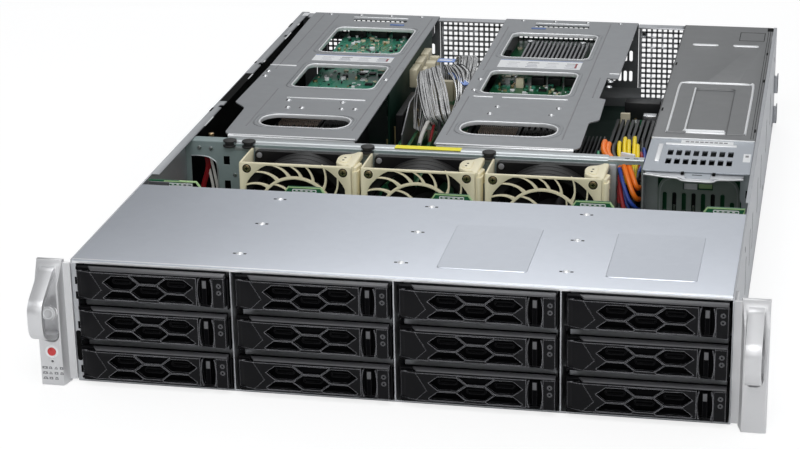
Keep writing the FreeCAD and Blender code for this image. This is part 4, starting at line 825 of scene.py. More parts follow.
def make_cover():
    """The sheet over the drives: its rolled front edge with a painted highlight, two raised panels and nine
    lanced dimples, each a pale dome of painted highlight between black slits of painted shade.
    """
    end = FRONT + 153.0
    sheet = plate("YZ",
                  [(FRONT, TOP - 2.5), (FRONT + 1.2, TOP - 2.5), (FRONT + 1.2, TOP - 1.2), (end, TOP - 1.2),
                   (end, TOP), (FRONT, TOP, 0.9)], (), -INNER, INNER, 0.12, 1, "cover")
    shapes = [sheet,
              # The rolled front edge in the pale finish: a painted highlight.
              plate("YZ",
                    [(FRONT - 0.15, TOP - 2.5), (FRONT + 0.25, TOP - 2.5), (FRONT + 0.25, TOP - 0.8),
                     (FRONT + 2.0, TOP + 0.05), (FRONT + 0.9, TOP + 0.12, 0.5),
                     (FRONT - 0.15, TOP - 0.9, 0.5)], (), -INNER, INNER, 0.0, 1, "edge")]
    for low, high in ((-INNER, -INNER + WALL), (INNER - WALL, INNER)):
        shapes.append(block((low, FRONT + 6, TOP - 4.2), (high, end, TOP - 1.1), 0.2, 1, "cover"))
    for left, right in ((24.5, 84.0), (134.8, 193.5)):
        raised = plate("XY", oblong(left, FRONT + 21, right, FRONT + 103, 2.5),
                       (), TOP - 0.3, TOP + 0.45, 0.35, 1, "cover")
        shapes.append(raised)
    # Each dimple: a pale dome of painted highlight and two black flanks of painted shade.
    for x in (-109.5, 0.0, 109.0):
        for y in (27.0, 85.0, 136.0):
            shapes.append(dome((x, FRONT + y, TOP - 0.1), 2.4, 1.0, "edge"))
            for offset in (-3.6, 3.6):
                shapes.append(block((x + offset - 1.0, FRONT + y - 0.9, TOP - 0.2),
                                    (x + offset + 1.0, FRONT + y + 0.9, TOP + 0.04), 0.0, 1, "pit_shade"))
    piece("cover_sheet_piece", "chassis", ("cover", "edge", "pit_shade"), shapes,
          ("drive_bay_cover",))


make_cover()


# ---------------------------------------------------------------- riser cages

def grown(points, by):
    """A rectangle drawn larger by a margin on every side, its corner radius kept."""
    middle_x = sum(p[0] for p in points) / len(points)
    middle_y = sum(p[1] for p in points) / len(points)
    return [(p[0] + math.copysign(by, p[0] - middle_x), p[1] + math.copysign(by, p[1] - middle_y), *p[2:])
            for p in points]


def window(left, right, front, rear, radius):
    """A round-cornered opening given by its sides, its rear set back from the chassis front."""
    return oblong(left, FRONT + front, right, FRONT + rear, radius)


def lip(opening):
    """The lip drawn down round an opening in the pale finish that paints its highlight, and the low bead
    outside it.
    """
    return [plate("XY", grown(opening, 1.3), [opening], TOP - 3.4, TOP + 0.05, 0.5, 3, "edge"),
            plate("XY", grown(opening, 4.6), [grown(opening, 2.4)], TOP - 0.2, TOP + 0.32, 0.25, 2, "riser")]


def bead(left, right, y):
    """A short pressed rib across the sheet, 1.6 wide with round ends, in the pale finish that paints its
    highlight.
    """
    return plate("XY", oblong(left, FRONT + y - 0.8, right, FRONT + y + 0.8, 0.75),
                 (), TOP - 0.2, TOP + 0.7, 0.3, 2, "edge")


def long_groove(x, front, rear):
    """A fine pressed line along the sheet, drawn as a thin dark strip: painted shade in the groove."""
    return plate("XY", oblong(x - 0.5, FRONT + front, x + 0.5, FRONT + rear),
                 (), TOP - 0.2, TOP + 0.25, 0.12, 1, "ink_and_groove_shade")


CAGE_FINISHES = ("riser", "edge", "steel", "ink_and_groove_shade", "white", "blue", "pit_shade", "wire_red", "print_grey")


def cage_piece(name, body, points, openings, slot, beads, rivets, grooves, label, tab, handle, rear_span,
               front_span):
    """A riser cage's sheet metal: the pressed top, its folds, its rear bracket and its fittings."""
    outline = [(x, FRONT + y, *rest) for x, y, *rest in points]
    holes = openings + [slot]
    grip = window(*handle, 2.0)
    shapes = [plate("XY", outline, [grown(h, 1.25) for h in holes] + [grip], TOP - WALL, TOP, 0.2, 1,
                    "riser")]
    for opening in holes:
        shapes += lip(opening)
    for left, right, y in beads:
        shapes.append(bead(left, right, y))
    for x, y in rivets:
        shapes.append(dome((x, FRONT + y, TOP - 0.05), 2.5, 1.15, "steel"))
    for groove in grooves:
        shapes.append(long_groove(*groove))
    left, right, front, rear = label
    shapes += [
        plate("XY", oblong(left, FRONT + front, right, FRONT + rear), (), TOP - 0.05, TOP + 0.12, 0.0, 1,
              "white"),
        block((left, FRONT + rear - 1.6, TOP + 0.10), (right, FRONT + rear - 0.2, TOP + 0.16), 0.0, 1,
              "blue"),
    ]
    for n in range(4):
        x = left + (right - left) * (0.10 + 0.235 * n)
        wide = (right - left) * 0.15
        for k in range(4):
            y = FRONT + front + 3.0 + k * (rear - front - 7.5) / 4
            shapes.append(block((x + k % 2, y, TOP + 0.10),
                                (x + wide - (k % 3), y + (1.5 if n % 2 else 0.6), TOP + 0.15), 0.0, 1,
                                "print_grey" if k < 3 else "ink_and_groove_shade"))
    shapes.append(block((right - 5.2, FRONT + front + 4.0, TOP + 0.10),
                        (right - 3.6, FRONT + rear - 6.5, TOP + 0.17), 0.0, 1, "wire_red"))
    x, y = tab
    shapes.append(block((x - 6.5, FRONT + y - 1.8, TOP - 0.1), (x + 6.5, FRONT + y + 1.8, TOP + 0.5), 0.3,
                        2, "blue"))
    low, high = front_span
    # The front fold in the pale finish: a painted highlight.
    shapes.append(plate("YZ",
                        [(FRONT + 276.0, TOP - 8.5), (FRONT + 277.2, TOP - 8.5), (FRONT + 277.2, TOP - 1.2),
                         (FRONT + 279.0, TOP - 1.2), (FRONT + 279.0, TOP + 0.05),
                         (FRONT + CAGE_FRONT, TOP + 0.05, 1.4)], (), low, high, 0.0, 1, "edge"))
    low, high = rear_span
    ports = []
    for z in (32.0, 51.0, 70.0):
        ports.append(oblong(low + 10, z, high - 34, z + 12, 1.0))
        for n in range(5):
            x = high - 28 + n * 5.0
            ports.append(oblong(x, z + 1, x + 3.0, z + 11, 1.4))
    shapes.append(plate("XZ", oblong(low, 27.0, high, TOP - 0.6), ports, REAR - WALL, REAR, 0.1, 1, "riser"))
    for n in range(4):
        shapes.append(dome((low + 16 + n * (high - low - 32) / 3, REAR - 5.5, TOP - 0.05), 2.1, 0.8, "steel"))
    return piece(name, body, CAGE_FINISHES, shapes)


def scatter(seed, low, high, z, count, finishes, tallest=5.0):
    """Small parts strewn over a board in a fixed order: chips, cans and blocks."""
    chance = random.Random(seed)
    shapes = []
    for _ in range(count):
        x = chance.uniform(low[0], high[0])
        y = chance.uniform(low[1], high[1])
        kind = chance.random()
        if kind < 0.18:
            shapes.append(rod((x, y, z), chance.uniform(1.2, 2.6), chance.uniform(0.5, 1.0) * tallest, "Z",
                              12, 0.2, chance.choice(finishes)))
        else:
            wide, deep = chance.uniform(0.6, 3.0), chance.uniform(0.6, 3.0)
            if kind > 0.9:
                wide, deep = wide * 2.4, deep * 2.4
            tall = chance.uniform(0.12, 0.55) * tallest
            shapes.append(block((x - wide / 2, y - deep / 2, z), (x + wide / 2, y + deep / 2, z + tall),
                                0.0, 1, chance.choice(finishes)))
    return shapes


def pins(left, right, y, z, count, height, finish_key, thick=0.7, depth=1.0):
    """A row of upright pins or fins."""
    pitch = (right - left) / count
    return [block((left + pitch * n, y, z), (left + pitch * n + thick, y + depth, z + height), 0.0, 1,
                  finish_key) for n in range(count)]


BOARD_FINISHES = ("board", "board_edge", "chip", "cream", "brass", "steel", "white", "sink", "copper",
                  "dark_board", "traced")


CARD_PARTS = ("chip", "traced", "cream", "brass", "traced", "chip", "white", "traced", "chip", "steel")
BOARD_PARTS = ("chip", "cream", "steel", "white", "chip", "brass", "chip")


def card(left, right, front, rear, z, seed, count, top="board"):
    """An expansion card lying flat: board, pale cut edges and its parts."""
    front, rear = FRONT + front, FRONT + rear
    shapes = [
        block((left, front, z), (right, rear, z + 1.6), 0.0, 1, top),
        block((left - 0.05, front - 0.15, z + 0.1), (right + 0.05, front + 0.5, z + 1.5), 0.0, 1,
              "board_edge"),
    ]
    shapes += scatter(seed, (left + 3, front + 3), (right - 3, rear - 3), z + 1.6, count, CARD_PARTS, 3.0)
    return shapes


def riser_board(x):
    """The upright board that the cards plug into, with its pale top edge."""
    shapes = [
        plate("YZ",
              [(FRONT + 430, 20.6), (FRONT + 590, 20.6), (FRONT + 590, 35), (FRONT + 612, 35),
               (FRONT + 612, TOP - WALL), (FRONT + 420, TOP - WALL), (FRONT + 420, 35), (FRONT + 430, 35)],
              (), x, x + 1.6, 0.0, 1, "dark_board"),
        block((x, FRONT + 421, TOP - WALL - 0.7), (x + 1.6, FRONT + 611, TOP - WALL), 0.0, 1, "board_edge"),
    ]
    return shapes


def make_left_riser():
    """The left cage over its cards."""
    openings = [window(-172.5, -101.5, 518, 600, 7.5), window(-170.5, -101.5, 411, 479, 7.5)]
    slot = window(-171.5, -100.0, 303, 334, 14.0)
    points = [(-191, 276.5, 9), (-84.7, CAGE_FRONT, 1.5), (-88, 647.6), (-205.4, 647.6), (-206, 623),
              (-203, 471.3), (-204.4, 361.2, 2), (-192.6, 347, 4)]
    cage_piece("left_cage_sheet", "left_riser", points, openings, slot,
               [(-165.6, -99.8, 378), (-203, -180, 469.5), (-88.5, -87.5, 471), (-166, -115, 634)],
               [(-162, 371), (-158, 352), (-146.5, 352), (-117, 371), (-114, 353), (-103, 354),
                (-95.5, 439), (-199.8, 451), (-199.0, 437)],
               [(-178.8, 300, 402), (-195.5, 459, 640), (-181.5, 480, 640), (-93.5, 300, 640)],
               (-171.5, -102.0, 489, 507.5), (-121, 612), (-164.4, -114.7, 622, 629), (-205.4, -88.0),
               (-187.0, -86.5))
    shapes = card(-170, -98.5, 548, 640, 74.0, 11, 150, "traced") + card(
            -170, -98.5, 462, 545, 70.0, 12, 120, "traced")
    shapes += [block((-165 + 20 * n, FRONT + 610, 75.6), (-150 + 20 * n, FRONT + 630, 84.0), 0.5, 2, "chip")
               for n in range(4)]
    shapes += pins(-164, -130, FRONT + 458, 66.0, 18, 5.0, "copper", 1.2, 4.0)
    for n in range(13):
        x = -158.0 + 3.6 * n
        shapes.append(swept([(x, FRONT + 566 + n % 4, 75.7), (x + 3.0, FRONT + 578 - n % 3, 75.7),
                             (x + 5.0 + n % 5, FRONT + 590 + 2 * (n % 4), 75.7)], 0.32, "brass", 4, 2))
    shapes += pins(-164, -130, FRONT + 456, 66.0, 18, 5.6, "white", 0.5, 0.6)
    shapes += riser_board(-90.5)
    shapes += [block((-195 + 4.6 * n, REAR - WALL - 0.6, 30), (-193.4 + 4.6 * n, REAR - WALL, 84), 0.0, 1,
                     "steel") for n in range(16)]
    shapes += [block((-195, REAR - WALL - 0.6, 32.6 + 4.6 * n), (-122, REAR - WALL, 34.2 + 4.6 * n), 0.0, 1,
                     "steel") for n in range(11)]
    for y, z in ((505, 62), (530, 62), (556, 62)):
        shapes.append(block((-88.9, FRONT + y, z), (-82.0, FRONT + y + 20, z + 16), 0.6, 2, "cream"))
    shapes += [
        block((-98.5, FRONT + 452, 52.0), (-90.5, FRONT + 541, 61.6), 0.4, 2, "chip"),
        block((-98.5, FRONT + 517, 64.0), (-90.5, FRONT + 606, 73.6), 0.4, 2, "chip"),
    ]
    piece("left_riser_cards", "left_riser", BOARD_FINISHES, shapes, ("left_riser",))


def make_right_riser():
    """The right cage over its cards and their finned sink."""
    openings = [window(-12.0, 63.0, 523, 601, 7.5), window(-12.0, 60.5, 415, 480, 7.5)]
    slot = window(-11.4, 63.4, 305, 338, 15.0)
    points = [(-25, CAGE_FRONT, 1.5), (86.5, 276.5, 9), (85.6, 345.8, 3), (92.9, 353.1, 3), (91.6, 409, 1),
              (86.1, 412), (86.1, 469.0), (95.4, 469.0), (94.6, 647.6), (-26.2, 647.6)]
    cage_piece("right_cage_sheet", "right_riser", points, openings, slot,
               [(-15.9, 0.8, 402), (8, 62, 402), (86.6, 95.4, 481), (3, 52, 634)],
               [(8.6, 377), (5.5, 358), (57.7, 378.7), (54.2, 360.2), (-17.4, 451.6), (-17.7, 420.5),
                (90, 459), (90.5, 444)],
               [(-19.0, 300, 402), (70.5, 300, 640), (-20.0, 480, 620), (80.5, 412, 469)],
               (-10, 60.5, 490, 514), (7.9, 617), (3.5, 52.2, 623, 630), (-25.5, 95.0), (-23.0, 82.0))
    shapes = card(-13.4, 76, 540, 640, 68.0, 21, 60) + card(-13.4, 66, 466, 538, 70.0, 22, 170)
    shapes += [block((2, FRONT + 526, 67.6), (56, FRONT + 598, 70.5), 0.3, 1, "sink")]
    shapes += [block((2.4 + 3.75 * n, FRONT + 527, 70.5), (4.3 + 3.75 * n, FRONT + 597, 82.5), 0.35, 1,
                     "sink") for n in range(15)]
    for x, y in ((4, 530), (51, 530), (4, 592), (51, 592)):
        shapes.append(rod((x, FRONT + y, 82.5), 2.6, 1.2, "Z", 20, 0.4, "steel"))
    shapes.append(block((7, FRONT + 484, 71.6), (13.5, FRONT + 491, 80.5), 0.5, 2, "cream"))
    shapes += [block((19 + 14 * n, FRONT + 494, 71.6), (30 + 14 * n, FRONT + 508, 78.5), 0.5, 2, "chip")
               for n in range(3)]
    shapes += pins(-9, 27, FRONT + 462, 66.0, 18, 5.0, "copper", 1.2, 4.0)
    shapes += pins(-9, 27, FRONT + 460, 66.0, 18, 5.6, "white", 0.5, 0.6)
    shapes += riser_board(-23.0)
    shapes += [block((-15.5 + 4.6 * n, REAR - WALL - 0.6, 30), (-13.9 + 4.6 * n, REAR - WALL, 84), 0.0, 1,
                     "steel") for n in range(16)]
    shapes += [block((-15.5, REAR - WALL - 0.6, 32.6 + 4.6 * n), (61, REAR - WALL, 34.2 + 4.6 * n), 0.0, 1,
                     "steel") for n in range(11)]
    shapes += [
        block((-21.4, FRONT + 437, 48.0), (-13.4, FRONT + 526, 57.6), 0.4, 2, "chip"),
        block((-21.4, FRONT + 512, 62.0), (-13.4, FRONT + 601, 71.6), 0.4, 2, "chip"),
    ]
    piece("right_riser_cards", "right_riser", BOARD_FINISHES, shapes, ("right_riser",))


make_left_riser()
make_right_riser()


# ---------------------------------------------------------------- fan modules

FAN_Z = 44.6
FAN_FACE = FRONT + 221.5


def polar(x, radius, degrees):
    """A point about a fan's axis, in its front plane."""
    turn = math.radians(degrees)
    return (x + radius * math.cos(turn), FAN_Z + radius * math.sin(turn))


def reach_to(degrees, half, corner):
    """How FAR the guard's opening reaches at an angle: a square with its corners rounded off."""
    turn = math.radians(degrees)
    return min(corner, half / max(abs(math.cos(turn)), abs(math.sin(turn))))


def curved_rib(x, angle, inner, outer, sweep, width, start, end):
    """A curved guard rib that leans as it goes out and widens where it joins the ring."""
    one, two = [], []
    for step in range(9):
        share = step / 8
        radius = inner + (outer - inner) * share
        turn = angle + sweep * 1.15 * share ** 1.5
        half = math.degrees((width / 2 + 0.7 * (1 - share) ** 4) / radius)
        one.append(polar(x, radius, turn + half))
        two.append(polar(x, radius, turn - half))
    return plate("XZ", one + two[::-1], (), start, end, 0.3, 1)


def make_fan_carrier(x):
    """The ivory carrier of one fan: guard, side walls, spring hook, and its screws."""
    face = FAN_FACE
    opening = [polar(x, reach_to(5 * n, 38.2, 44.6), 5 * n) for n in range(72)]
    plane = plate("XZ", [(x - 43, 4.6, 2.0), (x + 43, 4.6, 2.0), (x + 43, 84.6, 1.6), (x - 43, 84.6, 1.6)],
                  [opening], face, face + 2.5, 0.35, 2)
    shapes = [plane, ring((x, face, FAN_Z), 30.4, 28.3, 2.5, "Y", 56, 0.35),
              rod((x, face + 0.2, FAN_Z), 10, 2.3, "Y", 36, 0.4)]
    for n in range(20):
        angle = 9 + 18 * n
        outer = reach_to(angle + 15, 39.6, 45.6)
        shapes.append(curved_rib(x, angle, 29.6, outer, 15, 1.7, face + 0.1, face + 2.4))
    for n in range(5):
        shapes.append(curved_rib(x, 96 + 72 * n, 9.2, 29.2, 26, 1.7, face + 0.1, face + 2.4))
    shapes += [
        plate("YZ", [(face + 2, 4.6), (face + 38, 4.6), (face + 38, 83.9, 1.0), (face + 1.0, 84.5)], (),
              x - 43, x - 41.5, 0.3),
        plate("YZ",
              [(face + 2, 4.6), (face + 38, 4.6), (face + 38, 72, 2.0), (face + 8, 84.0, 2.0),
               (face + 1.0, 84.5)], (), x + 41.4, x + 43, 0.3),
        plate("XY",
              [(x + 29.4, face + 10.5, 2.0), (x + 35.8, face + 4.6, 1.2), (x + 39.2, face + 6.0, 1.5),
               (x + 41.5, face + 2.0), (x + 44.6, face + 2.0), (x + 44.8, face + 37.0, 1.5),
               (x + 40.8, face + 37.0, 1.0), (x + 38.0, face + 32.0, 3.0), (x + 30.0, face + 29.0, 3.0),
               (x + 28.2, face + 22.0, 3.0)], (), 79.8, 84.9, 1.0, 3),
        plate("XY",
              [(x + 31.2, face + 12.0, 1.5), (x + 36.2, face + 8.4, 1.0), (x + 38.4, face + 10.5, 1.0),
               (x + 38.4, face + 27.0, 2.0), (x + 31.2, face + 25.4, 2.0)], (), 84.8, 85.5, 0.3, 2),
    ]
    # Black holes in the hook's top: painted shade.
    for dx, dy in ((34.4, 14.0), (34.8, 19.5)):
        shapes.append(rod((x + dx, face + dy, 85.4), 0.9, 0.25, "Z", 12, 0.0, "pit_shade"))
    arm = [(x + 43.0, face + 2.2), (x + 46.4, face + 1.2, 1.4), (x + 48.6, face + 6.0, 2.4),
           (x + 47.0, face + 13.0, 2.0), (x + 44.6, face + 15.0, 1.2), (x + 43.0, face + 12.0)]
    shapes += [
        plate("XY", arm, (), 42.0, 80.4, 1.2, 3),
        rotated(plate("XY",
                      [(x + 43.4, face + 3.0), (x + 46.6, face + 3.4, 1.6), (x + 47.8, face + 20.0, 2.0),
                       (x + 44.0, face + 22.0, 1.5)], (), 72.0, 82.6, 1.2, 3), math.radians(-6), "X",
                (x + 45, face + 12, 77)),
    ]
    # Each corner screw sits in a black ring with a black cross slot: painted shade in its recess and slot.
    for side in (-1, 1):
        for up in (-1, 1):
            spot = (x + side * 37.0, face - 0.05, FAN_Z + up * 35.4)
            shapes += [
                ring(spot, 3.4, 2.3, 0.4, "Y", 24, 0.0, "pit_shade"),
                rod((spot[0], face - 0.30, spot[2]), 2.7, 0.5, "Y", 24, 0.18, "brass"),
                block((spot[0] - 1.5, face - 0.36, spot[2] - 0.3),
                      (spot[0] + 1.5, face - 0.2, spot[2] + 0.3), 0.0, 1, "pit_shade"),
                block((spot[0] - 0.3, face - 0.36, spot[2] - 1.5),
                      (spot[0] + 0.3, face - 0.2, spot[2] + 1.5), 0.0, 1, "pit_shade"),
            ]
    return shapes


def make_fan_body(x):
    """The black fan: two square flanges on a round duct, with its struts, motor seat and corner screws."""
    front, rear = FAN_FACE + 2.5, FAN_FACE + 38.0
    bore = [polar(x, 37.6, 7.5 * n) for n in range(48)]
    shapes = []
    for start, end in ((front, front + 4.5), (rear - 4.5, rear)):
        shapes.append(plate("XZ", oblong(x - 39.7, 4.8, x + 39.7, 83.0, 3.0), [bore],
                            start, end, 0.4, 2))
    shapes.append(ring((x, front, FAN_Z), 38.7, 37.6, rear - front, "Y", 64, 0.0))
    for n in range(3):
        shapes.append(ring((x, front + 9.0 + 8.0 * n, FAN_Z), 38.9, 38.4, 0.5, "Y", 64, 0.0))
    shapes.append(rod((x, rear - 3.0, FAN_Z), 16.0, 3.0, "Y", 40, 0.4))
    for n in range(4):
        strut = block((x - 1.5, rear - 3.0, FAN_Z + 15.0), (x + 1.5, rear, FAN_Z + 37.9), 0.3)
        shapes.append(rotated(strut, math.radians(90 * n), "Y", (x, rear, FAN_Z)))
    for side in (-1, 1):
        for up in (-1, 1):
            shapes.append(rod((x + side * 35.75, rear - 6.2, FAN_Z + up * 35.2), 2.2, 1.9, "Y", 20, 0.5,
                              "ink_and_groove_shade"))
    return shapes


def make_fan_rotor(x):
    """The hub and seven curved, pitched blades."""
    front = FAN_FACE + 3.5
    shapes = [
        rod((x, front, FAN_Z), 16.0, 31.5, "Y", 48, 1.6),
        rod((x, front + 31.4, FAN_Z), 2.0, 2.6, "Y", 20),
    ]
    for n in range(7):
        blade = bmesh.new()
        bmesh.ops.create_grid(blade, x_segments=8, y_segments=6, size=0.5)
        for v in blade.verts:
            out, chord = v.co.x + 0.5, v.co.y
            radius = 15.4 + 19.2 * out
            pitch = math.radians(52 - 12 * out)
            width = 20.0 + 5.0 * out
            turn = chord * width * math.cos(pitch) / radius + 0.30 * out + 0.25 * chord * chord
            v.co = (radius * math.sin(turn), 16.5 + chord * width * math.sin(pitch), radius * math.cos(turn))
        bmesh.ops.solidify(blade, geom=blade.faces[:], thickness=1.4)
        bmesh.ops.translate(blade, verts=blade.verts[:], vec=(x, front, FAN_Z))
        shapes.append(rotated(closed(blade), 2 * math.pi * n / 7, "Y", (x, front, FAN_Z)))
    return shapes


def make_fans():
    """The first fan module and its rotor are drawn, the others repeat them."""
    first = FAN_MIDDLES[0]
    carrier = piece("fan_guard_1", "fan_module_1", ("ivory", "pit_shade", "brass"),
                    make_fan_carrier(first), ("fan_module_1",))
    body = piece("fan_duct_1", "fan_module_1", ("fan_black", "ink_and_groove_shade"), make_fan_body(first),
                 ("fan_module_1",))
    rotor = piece("fan_blades_1", "fan_rotor_1", ("fan_black",), make_fan_rotor(first),
                  ("fan_rotor_1",))
    for number in (2, 3):
        shift = (FAN_PITCH * (number - 1), 0, 0)
        repeat_of(carrier, f"fan_guard_{number}", f"fan_module_{number}", shift,
                  (f"fan_module_{number}",))
        repeat_of(body, f"fan_duct_{number}", f"fan_module_{number}", shift,
                  (f"fan_module_{number}",))
        repeat_of(rotor, f"fan_blades_{number}", f"fan_rotor_{number}", shift,
                  (f"fan_rotor_{number}",))


make_fans()


# ---------------------------------------------------------------- fan wall

BEAM = FRONT + 262.5


def grommet(x, y):
    """A black rubber mount that hangs over the beam's front edge."""
    return [
        rod((x, y, 86.7), 5.3, 1.1, "Z", 28, 0.4, "rubber"),
        rod((x, y - 1.0, 84.6), 3.6, 2.4, "Z", 24, 0.3, "rubber"),
        rod((x, y - 1.4, 82.8), 5.0, 1.8, "Z", 28, 0.7, "rubber"),
    ]


def make_fan_wall():
    """The wall behind the fans: its bright rolled top edge, label, mounts, left bracket and beam end."""
    holes = [oblong(x - 38, 6.6, x + 38, 76.0, 8.0) for x in FAN_MIDDLES]
    holes.append([(117.0, 8.0, 2.0), (134.6, 8.0, 2.0), (134.6, 83.4, 2.0), (117.0, 82.4, 2.0)])
    holes.append([(-213.3, 10.0), (-192.6, 10.0), (-192.6, 74.2, 9.0), (-213.3, 74.2)])
    holes += [oblong(-187.3, z, -182.4, z + 7) for z in (22.0, 48.0, 67.8)]
    shapes = [
        plate("XZ", oblong(-INNER, 1.2, 136.5, 85.0), holes, BEAM, BEAM + 1.2, 0.1, 1, "blue_zinc"),
        plate("YZ",
              [(BEAM - 0.2, 80.2), (BEAM - 0.2, 84.0, 2.4), (BEAM + 2.6, LID, 2.2), (BEAM + 10.0, LID),
               (BEAM + 10.0, 85.6), (BEAM + 3.0, 85.4, 1.5), (BEAM + 1.1, 83.6, 1.2), (BEAM + 1.1, 80.2)],
              (), -178.0, 109.7, 0.0, 1, "beam"),
        plate("YZ",
              [(BEAM - 0.05, 84.8), (BEAM - 0.05, LID, 0.8), (BEAM + 7.0, LID), (BEAM + 7.0, 85.6),
               (BEAM + 1.25, 85.6), (BEAM + 1.25, 84.8)], (), 109.7, 136.4, 0.0, 1, "beam"),
        plate("YZ",
              [(BEAM - 0.05, 84.8), (BEAM - 0.05, LID, 0.8), (BEAM + 9.8, LID), (BEAM + 9.8, 85.6),
               (BEAM + 1.25, 85.6), (BEAM + 1.25, 84.8)], (), -INNER, -178.0, 0.0, 1, "blue_zinc"),
        block((-53.0, BEAM + 2.4, LID + 0.02), (-2.0, BEAM + 10.0, LID + 0.16), 0.0, 1, "yellow"),
    ]
    for x in (-182.0, -167.0, -73.5, 20.0):
        shapes += grommet(x, BEAM + 1.6)
    shapes.append(block((110.0, BEAM - 3.0, 4.6), (116.6, BEAM + 0.2, 83.4), 0.8, 2, "zinc"))
    # Black slots on the beam's top: painted shade.
    for x in (122.0, 128.5):
        shapes.append(block((x, BEAM + 2.6, LID + 0.02), (x + 3.6, BEAM + 3.6, LID + 0.1), 0.0, 1, "pit_shade"))
    shapes += [
        block((-166.0, BEAM - 40.0, 1.2), (134.0, BEAM, 4.5), 0.3, 1, "blue_zinc"),
        # A black block filling the gap below the beam's end: painted shade.
        block((116.5, BEAM - 34.0, 4.0), (133.5, BEAM - 22.0, 16.0), 0.5, 2, "pit_shade"),
        # A thin pale bead along the bracket opening's edge: a painted highlight.
        swept([(-213.0, BEAM - 0.3, 74.4), (-203.0, BEAM - 0.3, 74.4), (-196.0, BEAM - 0.3, 72.0),
               (-192.4, BEAM - 0.3, 65.0), (-192.4, BEAM - 0.3, 30.0)], 0.55, "beam", 8, 5),
        swept([(-211.0, BEAM + 9, 16.0), (-208.0, BEAM + 10, 44.0), (-203.0, BEAM + 10, 62.0),
               (-205.0, BEAM + 12, 74.0)], 2.2, "wire_red"),
    ]
    for x in (-200.0, -196.5):
        shapes.append(swept([(x, BEAM + 8, 14.0), (x + 1, BEAM + 9, 40.0), (x - 2, BEAM + 10, 60.0),
                             (x - 6, BEAM + 14, 70.0)], 1.2, "wire_white"))
    for x, z in ((-206.2, 80.9), (-197.0, 80.7), (-178.6, 60.0), (-178.6, 30.0)):
        shapes.append(rod((x, BEAM - 0.8, z), 1.7, 0.9, "Y", 16, 0.4, "steel"))
    piece("fan_wall_sheet", "chassis",
          ("blue_zinc", "beam", "rubber", "yellow", "zinc", "pit_shade", "steel", "wire_red", "wire_white"), shapes,
          ("fan_wall",))


make_fan_wall()


# ---------------------------------------------------------------- supply housing

SUPPLY_NOSE = FRONT + 242.0
SUPPLY_TOP_FRONT = FRONT + 317.0
SUPPLY_RIGHT = 215.3


def supply_top():
    """The pressed top: raised panel with its folds in painted highlight, oval ribs and front edge in painted
    highlight, label frame and slits in painted shade.
    """
    back, rear, right = SUPPLY_TOP_FRONT, REAR - WALL, SUPPLY_RIGHT
    shapes = [
        plate("XY", oblong(137.0, back, right, rear),
              [[(161.5, FRONT + 335), (192.0, FRONT + 335), (192.0, FRONT + 447, 3.0),
                (161.5, FRONT + 447, 3.0)]], LID - 0.1, TOP, 0.25, 2, "supply_top"),
        plate("YZ", [(back - 0.2, 80.0), (rear, 80.0), (rear, 88.0, 0.8), (back - 0.2, 88.0, 0.8)], (),
              137.0, 137.6, 0.0, 1, "supply_top"),
    ]
    panel = [(146.8, FRONT + 329), (161.0, FRONT + 329), (161.0, FRONT + 449, 4.0),
             (192.5, FRONT + 449, 4.0), (192.5, FRONT + 329), (207.4, FRONT + 329),
             (207.4, FRONT + 464, 7.0), (146.8, FRONT + 464, 7.0)]
    shapes.append(plate("XY", panel, (), 87.2, 88.9, 0.75, 1, "supply_top"))
    # The panel's folds, the trough's rear bar and the rear rib are traced in the pale finish: painted
    # highlights.
    ridge = [(147.4, FRONT + 330, 88.5), (147.4, FRONT + 395, 88.5), (147.4, FRONT + 454, 88.5),
             (150.5, FRONT + 461.5, 88.5), (157.0, FRONT + 463.6, 88.5), (178.0, FRONT + 463.6, 88.5),
             (197.5, FRONT + 463.6, 88.5), (204.0, FRONT + 461.5, 88.5), (206.9, FRONT + 454, 88.5),
             (206.9, FRONT + 330, 88.5)]
    shapes += [
        swept(ridge, 1.1, "edge", 10, 4),
        swept([(160.8, FRONT + 448, 88.5), (160.8, FRONT + 392, 88.5), (160.8, FRONT + 337, 88.5),
               (162.5, FRONT + 335.6, 88.5), (191.0, FRONT + 335.6, 88.5)], 0.9, "edge", 10, 4),
        plate("XY", oblong(161.5, FRONT + 329.5, 192.0, FRONT + 335.5), (), 87.2, 88.85, 0.7, 3, "edge"),
        plate("XY", oblong(161.0, FRONT + 335, 192.5, FRONT + 448), (), 86.5, 87.3, 0.0, 1, "supply_top"),
        plate("XY", oblong(150.0, FRONT + 460.4, 204.4, FRONT + 463.6, 1.4), (), 88.4, 88.95, 0.3, 2,
              "edge"),
    ]
    # The oval ribs in the pale finish: painted highlights.
    for left in (148.3, 183.1):
        shapes.append(plate("XY", oblong(left, FRONT + 578.6, left + 22.5, FRONT + 583.6, 2.2), (), 87.8,
                            88.8, 0.5, 3, "edge"))
    # The label frame as a thin black outline: painted shade.
    shapes.append(plate("XY", oblong(187.5, FRONT + 600, 209.3, FRONT + 627.5),
                        [oblong(188.0, FRONT + 600.5, 208.8, FRONT + 627.0)],
                        87.9, 88.08, 0.0, 1, "pit_shade"))
    # Thin black lines and slits: painted shade.
    for x in (211.6, 213.4):
        shapes.append(block((x, back + 4, 87.95), (x + 0.35, rear - 6, 88.1), 0.0, 1, "pit_shade"))
    for x, y in ((139.0, 389.0), (214.0, 342.0), (214.6, 478.0), (213.6, 560.0), (139.2, 520.0)):
        shapes.append(block((x - 0.7, FRONT + y - 4.0, 87.95), (x + 0.7, FRONT + y + 4.0, 88.12), 0.3, 1,
                            "pit_shade"))
    # The front edge in the pale finish: a painted highlight.
    shapes.append(block((137.2, back - 0.9, 86.6), (right, back + 0.5, 88.0), 0.35, 2, "edge"))
    return shapes


